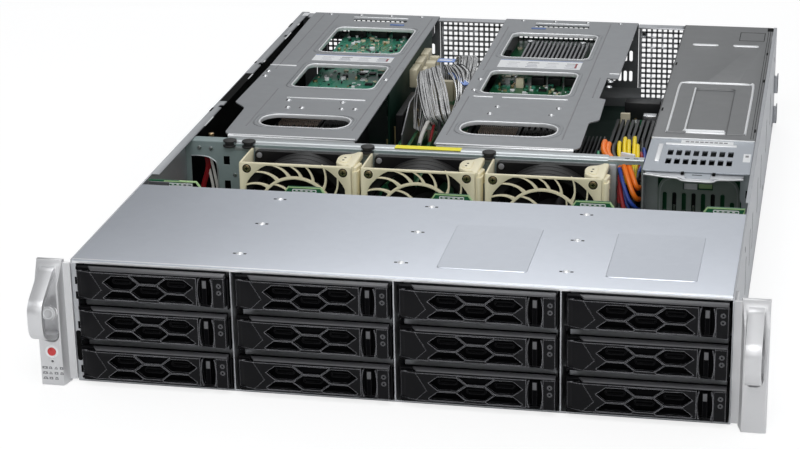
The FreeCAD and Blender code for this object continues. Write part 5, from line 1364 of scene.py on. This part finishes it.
def supply_nose():
    """The pale vented nose with its curled front edge, bands of painted highlight and slots of painted shade,
    its labels and the side column's wall.
    """
    back, rear, nose, right = SUPPLY_TOP_FRONT, REAR - WALL, SUPPLY_NOSE, SUPPLY_RIGHT
    grid_holes = []
    for row in range(2):
        for column in range(8):
            x, y = 154.2 + 6.4 * column, FRONT + 265.0 + 20.4 * row
            wide, deep = 2.05, 6.4
            grid_holes.append(oblong(x - wide, y - deep, x + wide, y + deep, 0.8))
    shapes = [
        plate("XY",
              [(137.2, nose), (164.6, nose), (167.0, nose), (189.0, nose), (right, nose), (right, back),
               (137.2, back)], grid_holes, 85.7, 86.8, 0.15, 1, "supply_nose"),
        # A soft band and a slope in the pale finish: painted highlights.
        block((149.0, FRONT + 302.4, 86.6), (202.4, FRONT + 306.4, 87.6), 0.48, 3, "edge"),
        block((144.0, FRONT + 262.0, 86.6), (147.6, FRONT + 303.0, 87.5), 0.44, 3, "edge"),
        plate("XY",
              [(139.0, nose - 3.0, 3.0), (164.0, nose - 9.0, 2.0), (168.0, nose - 13.6, 1.5),
               (188.5, nose - 14.6, 1.5), (192.0, nose - 9.5, 2.0), (211.0, nose - 6.0, 2.0),
               (211.0, nose + 0.5), (139.0, nose + 0.5)], (), 84.4, 85.4, 0.3, 2, "zinc"),
        plate("XY",
              [(168.4, nose - 1.0), (187.6, nose - 1.0), (187.0, nose - 11.0, 1.0),
               (169.0, nose - 11.0, 1.0)], (), 85.3, 85.9, 0.2, 1, "supply_nose"),
        # A black slot: painted shade.
        block((173.8, nose - 5.4, 85.85), (181.2, nose - 4.2, 86.0), 0.3, 1, "pit_shade"),
    ]
    # The curled front edge is traced by a pale bead: a painted highlight.
    edge = [(138.6, nose - 3.6, 84.6), (152.0, nose - 7.6, 84.6), (163.0, nose - 9.6, 84.6),
            (167.5, nose - 14.2, 84.6), (178.0, nose - 15.0, 84.6), (188.8, nose - 15.0, 84.6),
            (192.4, nose - 10.4, 84.6), (201.0, nose - 9.0, 84.6), (211.0, nose - 7.0, 84.6)]
    shapes.append(swept(edge, 0.65, "edge", 8, 4))
    # Black notches at the nose's tabs: painted shade.
    for x in (166.6, 189.4):
        shapes.append(block((x - 1.1, nose - 3.6, 84.9), (x + 1.1, nose - 0.2, 86.9), 0.2, 1, "pit_shade"))
    shapes.append(block((160.2, back - 9.2, 87.0), (199.5, back - 2.2, 87.15), 0.0, 1, "white"))
    for n in range(9):
        shapes.append(block((163.5 + 3.6 * n, back - 7.2, 87.15), (166.3 + 3.6 * n, back - 4.4, 87.18), 0.0,
                            1, "ink_and_groove_shade"))
    shapes += [
        block((208.5, nose + 27.0, 86.8), (214.0, nose + 46.0, 86.95), 0.0, 1, "white"),
        block((210.0, nose + 38.0, 86.95), (212.4, nose + 42.5, 86.98), 0.0, 1, "ink_and_groove_shade"),
        plate("YZ", oblong(nose, 1.2, rear, 86.6), (), 137.0, 138.2, 0.2, 1, "zinc"),
    ]
    return shapes


def supply_front():
    """The slotted bracket under the nose, the column at its right and the shelf between the supplies."""
    back, rear, nose, right = SUPPLY_TOP_FRONT, REAR - WALL, SUPPLY_NOSE, SUPPLY_RIGHT
    plane = nose + 18.0
    shapes = [block((138.2, plane, 1.2), (147.4, plane + 1.2, 84.8), 0.1, 1, "zinc")]
    slots = [[(151.0 + 7.1 * n, 34.0), (154.2 + 7.1 * n, 34.0),
              (154.2 + 7.1 * n, 64.0 - (0 if n < 7 else 6), 1.55),
              (151.0 + 7.1 * n, 64.0 - (0 if n < 7 else 6), 1.55)] for n in range(8)]
    shapes += [
        plate("XZ",
              [(147.2, 1.2), (208.0, 1.2), (208.0, 70.0, 7.0), (201.0, 76.6, 5.0), (154.0, 76.6, 5.0),
               (147.2, 70.0, 7.0)], slots + [oblong(165.8, 66.4, 187.9, 71.4)], plane, plane + 1.2, 0.2, 1,
              "slot_grey"),
        plate("XZ",
              [(148.6, 30.0, 1.0), (206.6, 30.0, 1.0), (206.6, 69.4, 6.4), (200.4, 75.2, 4.4),
               (154.6, 75.2, 4.4), (148.6, 69.4, 6.4)],
              [[(149.4, 31.0), (205.8, 31.0), (205.8, 69.0, 6.0), (200.0, 74.4, 4.0), (155.0, 74.4, 4.0),
                (149.4, 69.0, 6.0)]], plane - 0.25, plane + 0.1, 0.0, 1, "zinc"),
        block((138.2, plane + 1.4, 76.5), (right, plane + 2.2, 84.8), 0.0, 1, "zinc"),
        plate("XZ",
              [(209.6, 20.0), (214.9, 20.0), (214.9, 84.6), (208.2, 84.6), (208.2, 64.0, 2.5),
               (209.6, 62.0)], (), nose + 6.0, nose + 7.2, 0.3, 2, "supply_nose"),
        # A black slot: painted shade.
        block((212.4, nose + 5.6, 66.0), (214.4, nose + 6.2, 72.0), 0.3, 1, "pit_shade"),
        block((137.5, back + 1.0, 40.8), (214.0, rear - 0.4, 42.2), 0.0, 1, "zinc"),
    ]
    return shapes


def make_supply_housing():
    """The housing over the supplies: pressed top, pale vented nose, slotted bracket and side column."""
    shapes = supply_top() + supply_nose() + supply_front()
    piece("supply_housing", "chassis",
          ("supply_top", "edge", "supply_nose", "zinc", "pit_shade", "white", "ink_and_groove_shade", "slot_grey"), shapes,
          ("supply_cover",))


def make_share_board():
    """The board that joins the supplies' power: green board, its parts and its two sockets."""
    face = FRONT + 272.0
    shapes = [block((138.4, face, 1.2), (212.0, face + 1.6, 80.0), 0.0, 1, "board")]
    for z in (14.0, 54.0):
        shapes.append(block((150.0, face + 1.6, z), (204.0, FRONT + 321.0, z + 16.0), 0.4, 1, "chip"))
    shapes += [
        block((166.0, face - 5.0, 64.0), (176.0, face, 73.0), 0.3, 1, "white"),
        block((177.0, face - 4.0, 65.0), (187.0, face, 71.0), 0.3, 1, "board_edge"),
    ]
    for n in range(7):
        shapes += [
            block((150.6 + 7.1 * n, face - 2.5, 38.0 + 3 * (n % 3)), (154.0 + 7.1 * n, face, 60.0), 0.2, 1,
                  "chip" if n % 2 else "board"),
            block((151.0 + 7.1 * n, face - 3.2, 44.0), (153.0 + 7.1 * n, face - 2.4, 47.0 + 4 * (n % 2)),
                  0.1, 1, "steel"),
        ]
    piece("share_board_parts", "chassis", BOARD_FINISHES, shapes, ("power_board",))


make_supply_housing()
make_share_board()


# ---------------------------------------------------------------- chassis

def make_chassis():
    """The bent tray: its sheet with painted shade on its floor and upper left wall, a black sheet of painted
    shade on its left wall, the flange gap filled with painted shade, strips of painted highlight along the
    flange, stamped side slots outlined in painted shade, tabs and screw.
    """
    side = CHASSIS_HIGH.x
    shapes = [
        # The floor and the upper left wall take darker copies of the zinc (the floor finish and the riser
        # finish): painted shade.
        cad_shape("chassis_base", 0.25,
                  [((-FAR, FRONT + 8, -FAR), (FAR, REAR - 2, 1.25), "floor_zinc_painted_shade"),
                   ((-FAR, FRONT + 160, 60), (-210, FAR, FAR), "riser")]),
        # Painted shade: a black sheet on the left wall's inner face, and a black plate over the gap in the
        # flange where the inside shows dark.
        block((-side + 1.25, FRONT + 268, 3.0), (-side + 1.6, REAR - 3, TOP - 3.0), 0.0, 1, "pit_shade"),
        block((-side + 1.0, FRONT + 361.5, TOP - 0.05), (-210.6, FRONT + 442.5, TOP + 0.05), 0.0, 1, "pit_shade"),
    ]
    # Painted highlights: pale strips along the flange's inner edge.
    for front, rear in ((552.6, 574.3), (425.9, 441.0), (295.3, 319.3), (478.0, 483.0), (600.0, 606.0)):
        shapes.append(block((-211.6, FRONT + front, TOP - 0.3), (-210.5, FRONT + rear, TOP + 0.1), 0.1, 1,
                            "edge"))
    # Painted shade in the notches of the flange's outer edge.
    for front, rear in ((594.0, 606.5), (474.0, 479.0), (333.0, 343.0)):
        shapes.append(block((-side - 0.05, FRONT + front, TOP - 2.0),
                            (-side + 1.5, FRONT + rear, TOP + 0.06), 0.0, 1, "pit_shade"))
    shapes += [
        rod((-204.5, FRONT + 290.0, 72.0), 4.6, 8.0, "Z", 24, 0.3, "edge", 3.0),
        rod((-204.5, FRONT + 290.0, 80.0), 2.2, 4.0, "Z", 24, 0.4, "brass"),
        rod((-204.5, FRONT + 290.0, 66.0), 5.6, 6.0, "Z", 6, 0.3, "edge"),
    ]
    for wall in (-1, 1):
        near, away = sorted((wall * (side - 0.02), wall * (side + 0.1)))
        # The stamped side slots are drawn as flat dark outlines: painted shade along their pressed edges.
        for y in (152, 208, 243, 322, 378, 470, 546):
            y += FRONT
            shapes.append(plate("YZ",
                                [(y - 5, 30, 2), (y + 5, 30, 2), (y + 5, 40, 2), (y + 1, 46),
                                 (y + 1, 58, 2), (y - 5, 58, 2)],
                                [[(y - 4, 31, 1.2), (y + 4, 31, 1.2), (y + 4, 39.5, 1.2), (y, 45.4),
                                  (y, 57, 1.2), (y - 4, 57, 1.2)]], near, away, 0.0, 1, "ink_and_groove_shade"))
        # Black discs in the wall's holes: painted shade.
        for y, z in ((40, 14), (40, 70), (132, 14), (132, 70), (600, 12), (600, 72), (430, 12)):
            shapes.append(rod((near if wall > 0 else away, FRONT + y, z), 2.1, 0.14 * wall, "X", 20, 0.0,
                              "pit_shade"))
    # Black slots on the chassis front: painted shade.
    shapes.append(plate("XZ", oblong(-218.1, 15.0, -214.5, 37.0, 1.7), (), FRONT - 0.12, FRONT - 0.02, 0.0,
                        1, "pit_shade"))
    for z in (73.0, 62.5, 41.0, 9.0):
        shapes.append(block((-216.2, FRONT - 0.12, z - 2.6), (-214.7, FRONT - 0.02, z + 2.6), 0.0, 1, "pit_shade"))
    for low in (6.0, 34.0):
        shapes += [
            block((side, FRONT + 624, low), (side + 3.4, FRONT + 626, low + 16), 0.4, 2, "zinc"),
            block((side + 2.4, FRONT + 624, low), (side + 3.4, FRONT + 634, low + 16), 0.4, 2, "zinc"),
        ]
    # At the flange's rear corners: a pale block of painted highlight on the left and a black block of painted
    # shade on the right.
    for x in (-212.6, 213.2):
        shapes.append(block((x - 2.6, REAR - 14, TOP - 0.1), (x + 2.6, REAR - 4, TOP + 0.12), 0.0, 1,
                            "edge" if x < 0 else "pit_shade"))
    piece("chassis_tray", "chassis",
          ("zinc", "pit_shade", "edge", "floor_zinc_painted_shade", "brass", "ink_and_groove_shade", "riser"), shapes, ("chassis_base",))


make_chassis()


# ---------------------------------------------------------------- drive backplane

def make_backplane():
    """The drive backplane: dark green board, pale cut tab edges, printed connector outlines and plugs."""
    face = FRONT + 165.0
    shapes = [cad_shape("drive_backplane", 0.0,
                        [((-FAR, -FAR, 0), (FAR, face - 0.3, 80), "chip"),
                         ((-FAR, face + 1.8, 10), (FAR, FAR, 40), "cream")])]
    for middle in (-192, -99, 9, 110, 202):
        left, right = max(middle - 19, -216), min(middle + 19, 216)
        low = left + 7
        high = right - (0 if middle > 200 else 7)
        inner = [(left + 3.0, 80.0), (right - 3.0, 80.0), (high - 0.3, 86.7), (low + 0.3, 86.7)]
        shapes.append(plate("XZ",
                            [(left + 1.0, 79.0), (right - 1.0, 79.0), (high + 0.1, 87.55),
                             (low - 0.1, 87.55)], [inner], face - 0.12, face + 1.7, 0.0, 1, "board_edge"))
        spot = (low + high) / 2
        frame_out = oblong(spot - 9, 83.4, spot + 9, 85.9, 0.8)
        frame_in = oblong(spot - 8.3, 84.0, spot + 8.3, 85.3, 0.4)
        shapes.append(plate("XZ", frame_out, [frame_in], face - 0.15, face, 0.0, 1, "white"))
        for n in range(4):
            shapes.append(block((spot - 6.6 + 3.6 * n, face - 0.16, 84.3),
                                (spot - 4.8 + 3.6 * n, face, 85.0), 0.0, 1, "white"))
    shapes.append(block((-216.2, face - 0.6, 78.0), (-200.5, face + 2.4, 86.6), 0.3, 1, "sink"))
    piece("backplane_parts", "chassis", BOARD_FINISHES, shapes, ("drive_backplane",))


make_backplane()


# ---------------------------------------------------------------- main board

def main_board():
    """The board itself, with its sinks, memory, ports and plugs finished by where they lie."""
    zones = [((-173, FRONT + 299, 9), (-103, FRONT + 411, 71), "chip"),
             ((-15, FRONT + 299, 9), (65, FRONT + 411, 71), "chip"),
             ((97, FRONT + 349, 9), (132, FRONT + 441, 63), "chip"),
             ((-81, FRONT + 299, 15), (-20, FRONT + 441, 60), "board"),
             ((-81, FRONT + 299, 9), (-20, FRONT + 441, 15), "chip"),
             ((-200, REAR - 19, 9), (-30, FAR, 21), "steel"),
             ((-80, FRONT + 463, 9), (-30, FRONT + 547, 30), "cream"),
             ((115, FRONT + 299, 9), (134, FRONT + 313, 40), "cream")]
    board = cad_shape("motherboard", 0.0, zones)
    for face in board.faces:
        if face.material_index == 0 and face.calc_center_median().z < 10:
            face.material_index = FINISH_KEYS.index("dark_board")
    return board


def sinks_and_memory():
    """The copper combs and dark fins on the two sinks, and the memory with its latches."""
    shapes = []
    for left, right in ((-172, -136), (-8, 26)):
        for row in range(2):
            shapes += pins(left + 3, right, FRONT + 362 + 10 * row, 68.0, 19, 3.6, "copper", 0.9, 6.0)
        shapes += pins(right + 4, right + 34, FRONT + 366, 68.0, 20, 3.0, "chip", 0.7, 9.0)
        shapes += pins(right + 4, right + 34, FRONT + 365.2, 68.0, 20, 3.2, "sink", 0.3, 0.5)
    for n in range(7):
        x = -78.0 + 8 * n
        shapes.append(block((x - 0.1, FRONT + 303, 44.0), (x + 1.7, FRONT + 436, 45.0), 0.0, 1, "board_edge"))
        for y in (301.0, 436.5):
            shapes.append(block((x - 1.5, FRONT + y, 15.0), (x + 3.0, FRONT + y + 3.0, 30.0), 0.4, 1,
                                "white" if n % 2 else "chip"))
    return shapes


def board_parts():
    """The small parts strewn on the board, the air guide, posts, fins, plugs and the raised small board."""
    shapes = scatter(31, (-100, FRONT + 446), (-20, FRONT + 600), 9.0, 90, BOARD_PARTS, 8.0)
    shapes += scatter(32, (68, FRONT + 300), (131, FRONT + 345), 9.0, 40, BOARD_PARTS, 8.0)
    shapes += scatter(33, (98, FRONT + 446), (131, FRONT + 598), 9.0, 50, BOARD_PARTS, 20.0)
    shapes += [
        plate("YZ",
              [(FRONT + 404, 20.0), (FRONT + 486, 20.0), (FRONT + 486, 69.0), (FRONT + 440, 69.0),
               (FRONT + 404, 52.0)], (), -76.4, -75.2, 0.2, 1, "sink"),
        block((-84.0, FRONT + 420, 12.0), (-78.0, FRONT + 486, 64.0), 0.5, 1, "chip"),
    ]
    for x, y, z in ((-81.5, 372, 58.0), (-79.5, 394, 62.0), (-69.0, 438, 64.0), (-66.5, 430, 58.0)):
        shapes.append(rod((x, FRONT + y, 9.0), 0.7, z - 9.0, "Z", 8, 0.0, "brass"))
    shapes += [
        block((99.0, FRONT + 456, 46.0), (107.0, FRONT + 459, 62.0), 0.3, 1, "cream"),
        block((98.0, FRONT + 500, 40.0), (128.0, FRONT + 512, 58.0), 0.5, 2, "chip"),
    ]
    for n in range(9):
        shapes += [
            block((68.0 + 3.1 * n, FRONT + 302, 20.0), (69.4 + 3.1 * n, FRONT + 392, 62.0), 0.2, 1, "chip"),
            block((68.1 + 3.1 * n, FRONT + 303, 61.9), (68.9 + 3.1 * n, FRONT + 391, 62.4), 0.0, 1, "sink"),
        ]
    shapes += scatter(34, (97, FRONT + 446), (131, FRONT + 500), 40.0, 26,
                      ("steel", "cream", "board", "chip", "white", "brass"), 9.0)
    shapes += [
        block((97.0, FRONT + 446, 38.0), (131.0, FRONT + 500, 40.0), 0.2, 1, "board"),
        block((118.0, FRONT + 452, 50.0), (129.0, FRONT + 460, 62.0), 0.5, 2, "steel"),
    ]
    return shapes


def make_main_board():
    """The main board: the board, its sinks and memory, and its parts."""
    shapes = [main_board()] + sinks_and_memory() + board_parts()
    piece("main_board_parts", "chassis", BOARD_FINISHES, shapes, ("motherboard",))


make_main_board()


# ---------------------------------------------------------------- leads

LEAD_FINISHES = ("ribbon", "ribbon_gap_shade", "cream", "blue", "pale_blue", "white", "orange", "wire_yellow",
                 "green_latch", "wire_red", "wire_black", "wire_blue", "wire_white")


def strands(first, second, count, radius, seed, looseness, turn):
    """Ribbon strands, with a dark one at every few: painted shade between the strands."""
    shapes = ribbon_lead(first, second, count, radius, seed, looseness)
    for n, shape in enumerate(shapes):
        for face in shape.faces:
            face.material_index = FINISH_KEYS.index("ribbon_gap_shade" if n % turn == 1 else "ribbon")
    return shapes


def at(*spots):
    """Points whose distance to the rear is counted from the chassis front."""
    return [(x, FRONT + y, z) for x, y, z in spots]


def folded_ribbons():
    """Four folded ribbon leads and the three thin wires under them."""
    shapes = strands(at((-77, 494, 68), (-77, 493, 80), (-74, 468, 81), (-66, 436, 74), (-58, 418, 62),
                        (-52, 430, 48)),
                     at((-64, 503, 68), (-63, 502, 83), (-56, 478, 84), (-46, 446, 80), (-38, 420, 68),
                        (-36, 432, 50)), 26, 0.50, 3, 0.55, 5)
    shapes += strands(at((-60, 507, 70), (-58, 506, 82), (-50, 485, 83.6), (-42, 462, 82), (-36, 440, 74),
                         (-40, 425, 60)),
                      at((-46, 506, 70), (-45, 505, 84.2), (-34, 488, 84.6), (-29, 465, 82),
                         (-28.5, 440, 72), (-31, 428, 58)), 18, 0.46, 5, 0.9, 2)
    shapes += strands(at((-55, 542, 60), (-54, 542, 78), (-49, 532, 83.5), (-44, 502, 83.6),
                         (-40.5, 478, 80)),
                      at((-40, 543, 60), (-39, 543, 80), (-33, 527, 84), (-29.5, 498, 83), (-29, 470, 79)),
                      18, 0.50, 7, 0.4, 6)
    shapes += strands(at((-76, 486, 60), (-76, 480, 72), (-75, 462, 74), (-72, 440, 66), (-70, 428, 50)),
                      at((-66, 490, 60), (-66, 484, 73), (-64, 462, 74), (-60, 440, 64), (-62, 428, 46)),
                      14, 0.46, 9, 0.8, 2)
    shapes += [
        swept(at((-55, 424, 62), (-58, 414, 56), (-61, 406, 46), (-63, 400, 30)), 1.7, "wire_white", 10, 5),
        swept(at((-47, 420, 60), (-46, 410, 52), (-47, 404, 38)), 1.5, "wire_black", 10, 5),
        swept(at((-52, 426, 58), (-53, 412, 48), (-55, 404, 34)), 1.2, "wire_red", 10, 5),
    ]
    return shapes


def plugs_and_tabs():
    """The cream plugs, the pale blue pull tabs with their white rims, and the three short dark leads."""
    tab_turn, tab_middle = math.radians(30), (-39.5, FRONT + 472.5, 81.5)
    shapes = []
    for left, right, front, rear, low, high in (
            (-77.5, -69.5, 540, 546, 68, 80), (-77.5, -69, 519, 529, 70, 80.5),
            (-77, -73.4, 503, 511, 70, 80), (-77, -73.8, 472, 482, 70, 79), (-75, -56, 534, 546, 26, 60),
            (-56, -36, 538, 546, 26, 62), (-75, -32, 464, 492, 22, 30)):
        shapes.append(block((left, FRONT + front, low), (right, FRONT + rear, high), 0.6, 2, "cream"))
    shapes += [
        block((-68, FRONT + 523, 80.4), (-52.5, FRONT + 532, 81.6), 0.5, 2, "pale_blue"),
        block((-66, FRONT + 524.6, 81.6), (-55, FRONT + 527.6, 81.75), 0.0, 1, "white"),
    ]
    strip = block((-42.5, FRONT + 453, 81.0), (-37.0, FRONT + 492, 82.0), 0.4, 2, "pale_blue")
    shapes.append(rotated(strip, tab_turn, "Z", tab_middle))
    rim = block((-37.0, FRONT + 454, 80.9), (-36.2, FRONT + 491, 82.2), 0.1, 1, "white")
    shapes.append(rotated(rim, tab_turn, "Z", tab_middle))
    for n in range(3):
        x = 120.0 + 5 * n
        shapes.append(swept(at((x, 235, 20), (x, 236, 36), (x, 251, 56), (x, 280, 60), (x, 305, 52),
                               (x, 306, 32)), 2.1, "wire_black", 10, 6))
    return shapes


def power_routes():
    """Each power lead's finish, radius and points: over the fan wall, then down in front of it."""
    routes = []
    for finish_key, radius, x, shift, crest, fall, front in (
            ("orange", 2.1, 101, 10, 84, 121, 130), ("orange", 2.1, 104.6, 6, 83.5, 124, 131.5),
            ("wire_black", 1.9, 108.4, 8, 82, 126, 133), ("wire_yellow", 1.6, 112, 12, 83, 122, 119),
            ("wire_yellow", 1.6, 115.5, 20, 84, 124, 121), ("wire_yellow", 1.6, 119, 14, 84, 126, 124),
            ("wire_yellow", 1.6, 122.5, 24, 83.5, 128, 127), ("wire_yellow", 1.5, 126, 10, 82, 129, 129),
            ("wire_red", 1.7, 108, -12, 74, 118, 128), ("wire_red", 1.7, 113, -10, 72, 122, 130),
            ("wire_red", 1.6, 129.5, 0, 79, 129, 131), ("wire_blue", 1.5, 131, 8, 80, 130, 131.5),
            ("wire_black", 1.7, 104, 18, 76, 117, 122), ("wire_black", 1.7, 128, 30, 80, 131, 127),
            ("wire_black", 1.7, 117, 34, 81, 120, 120), ("green_latch", 1.2, 97.5, -4, 80, 104, 110)):
        routes.append((finish_key, radius, (x, 322 + shift, 34), (x, 316 + shift, crest - 14),
                       (x + 1, 302 + shift, crest), (x + 3, 288 + shift / 2, crest - 3),
                       (fall, 270, min(crest - 10, 73)), (min(front, 130), 262, crest - 16)))
    for finish_key, radius, *spots in (
            ("wire_red", 1.6, (118.5, 262, 74), (120.5, 252, 66), (124, 244, 54), (129, 239, 40),
             (131.5, 237.5, 22)),
            ("wire_red", 1.6, (118.5, 262, 66), (120, 251, 57), (123, 243, 45), (128, 239, 31),
             (131, 237.5, 17)),
            ("wire_red", 1.5, (118.5, 260, 57), (119.5, 249, 48), (121.5, 243, 36), (125.5, 239, 21)),
            ("wire_blue", 1.5, (118.5, 262, 80), (122, 252, 73), (127, 246, 62), (131.5, 246, 56),
             (133.6, 252, 52), (134, 260, 49)),
            ("wire_blue", 1.4, (119.5, 264, 72), (122, 254, 66), (127, 248, 54), (131.5, 248, 48),
             (133.6, 253, 44), (134, 260, 41)),
            ("orange", 1.9, (121.5, 264, 82), (125, 255, 76), (129.5, 248, 67), (132, 249, 62),
             (133.4, 254, 59), (133.6, 261, 57)),
            ("orange", 1.9, (125, 265, 82), (128.5, 257, 77), (131.5, 252, 71.5), (133.2, 254, 68),
             (133.6, 261, 66)),
            ("wire_yellow", 1.6, (118.5, 258, 48), (119, 247, 38), (121, 241, 27), (123.5, 239, 18)),
            ("wire_yellow", 1.6, (118, 258, 40), (118.2, 248, 30), (119.6, 241, 18)),
            ("wire_black", 1.8, (118.5, 266, 78), (120, 258, 62), (123, 252, 46), (128, 248, 24)),
            ("wire_black", 1.8, (121, 266, 70), (124, 259, 58), (129, 253, 42), (131.5, 249, 22)),
            ("wire_black", 1.8, (127, 266, 66), (129, 259, 52), (131.5, 254, 34), (131.5, 250, 18)),
            ("wire_black", 1.8, (118.5, 264, 52), (121, 256, 40), (125, 250, 28), (126, 247, 18))):
        routes.append((finish_key, radius, *spots))
    return routes


def power_leads():
    """The coloured power leads, a dark sheet of painted shade behind them and the white tie round them."""
    shapes = [
        # A black sheet behind the leads: painted shade in the gap.
        block((117.5, FRONT + 268, 16.5), (133.5, FRONT + 269, 70.0), 0.0, 1, "wire_black"),
        rotated(block((116.5, FRONT + 283.5, 79.6), (128.5, FRONT + 286.0, 84.6), 0.8, 2, "white"),
                math.radians(-24), "Z", (122.5, FRONT + 285, 82)),
    ]
    for finish_key, radius, *spots in power_routes():
        shapes.append(swept(at(*spots), radius, finish_key, 10, 6))
    return shapes


def make_leads():
    """The folded ribbon leads with their plugs and pull tabs, and the coloured power leads."""
    shapes = folded_ribbons() + plugs_and_tabs() + power_leads()
    piece("lead_strands", "chassis", LEAD_FINISHES, shapes, ("cables",))


make_leads()


# ---------------------------------------------------------------- ears, power button, rear panel and supplies

def make_ears():
    """The cast ears, with their thumb screws, rivets, blank labels and the power button's bright ring."""
    for node_name, turn in (("left_ear", -1), ("right_ear", 1)):
        shapes = [cad_shape(node_name, 0.5, (), 2)]
        middle = turn * 232.55
        shapes += [
            rod((turn * 232.0, FRONT - 12.5, 53.0), 5.2, 3.0, "Y", 28, 0.7, "nickel"),
            ring((turn * 232.0, FRONT - 12.7, 53.0), 3.6, 2.9, 0.5, "Y", 28, 0.1, "edge"),
        ]
        if turn < 0:
            shapes.append(ring((middle, FRONT - 10.1, 24.5), 4.4, 3.0, 0.5, "Y", 40, 0.15, "edge"))
            for n in range(11):
                x, z = middle - 5.6 + 3.9 * (n % 4), 12.6 - 3.8 * (n // 4)
                wide = 1.3 if n % 4 else 1.9
                shapes.append(plate("XZ",
                                    [(x - wide, z - 0.9), (x + wide, z - 0.9),
                                     (x + wide - (n % 3) * 0.5, z + 0.9),
                                     (x - wide + (n % 3) * 0.5, z + 0.9)],
                                    [[(x - wide * 0.5, z - 0.4), (x + wide * 0.5, z - 0.4), (x, z + 0.5)]],
                                    FRONT - 10.08, FRONT - 10.0, 0.0, 1, "ink_and_groove_shade"))
        else:
            for n, z in enumerate((64.0, 60.4, 58.6)):
                shapes.append(block((middle - 3.4 + n, FRONT - 10.08, z),
                                    (middle + 3.2 - n * 0.6, FRONT - 9.9, z + 0.5), 0.0, 1, "ink_and_groove_shade"))
        piece(f"{node_name}_casting", "chassis", ("nickel", "edge", "pit_shade", "ink_and_groove_shade"), shapes,
              (node_name,))
    piece("power_cap", "power_button", ("red",), [cad_shape("power_button", 0.35, (), 3)],
          ("power_button",))


def make_rear():
    """The rear wall with its ports, and the two supplies with their green catches."""
    shapes = [cad_shape("rear_panel", 0.15)]
    for left, low, columns, rows in ((102.2, 22.2, 4, 7), (-80.5, 41.4, 6, 5)):
        for n in range(columns):
            shapes.append(block((left + 9.6 * n - 0.8, REAR - 1.2, low - 4.8),
                                (left + 9.6 * n + 0.8, REAR, low + 9.6 * rows - 4.8), 0.0, 1, "zinc"))
        for n in range(rows):
            shapes.append(block((left - 4.8, REAR - 1.2, low + 9.6 * n - 0.8),
                                (left + 9.6 * columns - 4.8, REAR, low + 9.6 * n + 0.8), 0.0, 1, "zinc"))
    rear = REAR - 0.9
    for left, right in ((-194, -180.5), (-178.5, -165), (-160, -147), (-145, -133), (-115, -85), (-82, -68),
                        (-65, -51), (-48, -36)):
        screen_port = left == -115
        # Each port's opening is black, the screen port's blue: painted shade in the openings.
        shapes += [
            block((left, REAR - 4, 9.2), (right, rear, 17.0), 0.2, 1, "steel"),
            block((left + 1.2, rear - 0.2, 10.2), (right - 1.2, rear + 0.15, 16.0), 0.1, 1,
                  "blue" if screen_port else "pit_shade"),
        ]
        if screen_port:
            shapes += [rod((left + 4.4 + 2.1 * n, rear + 0.1, 11.6 + 1.5 * (n % 3)), 0.4, 0.2, "Y", 10, 0.0,
                           "pit_shade") for n in range(11)]
    # Each screw's slot is a black bar: painted shade.
    for x, z in ((-212, 10), (-212, 78), (-30, 20), (-82, 20), (100, 78), (128, 14)):
        shapes += [
            rod((x, REAR - 0.3, z), 2.6, 0.5, "Y", 24, 0.2, "steel"),
            block((x - 1.8, REAR + 0.05, z - 0.3), (x + 1.8, REAR + 0.22, z + 0.3), 0.0, 1, "pit_shade"),
        ]
    piece("rear_wall_sheet", "chassis", ("zinc", "edge", "pit_shade", "blue", "steel"), shapes,
          ("rear_panel",))
    for number in (1, 2):
        node_name = f"power_supply_{number}"
        zones = [((-FAR, REAR + 1.5, -FAR), (FAR, FAR, FAR), "chip")]
        shapes = [cad_shape(node_name, 0.25, zones)]
        piece(f"{node_name}_case", node_name, ("zinc", "chip", "pit_shade", "steel", "white"),
              shapes, (node_name,))
        latch = f"supply_latch_{number}"
        piece(f"{latch}_tab", latch, ("green_latch",), [cad_shape(latch, 0.4, (), 2)],
              (latch,))


make_ears()
make_rear()
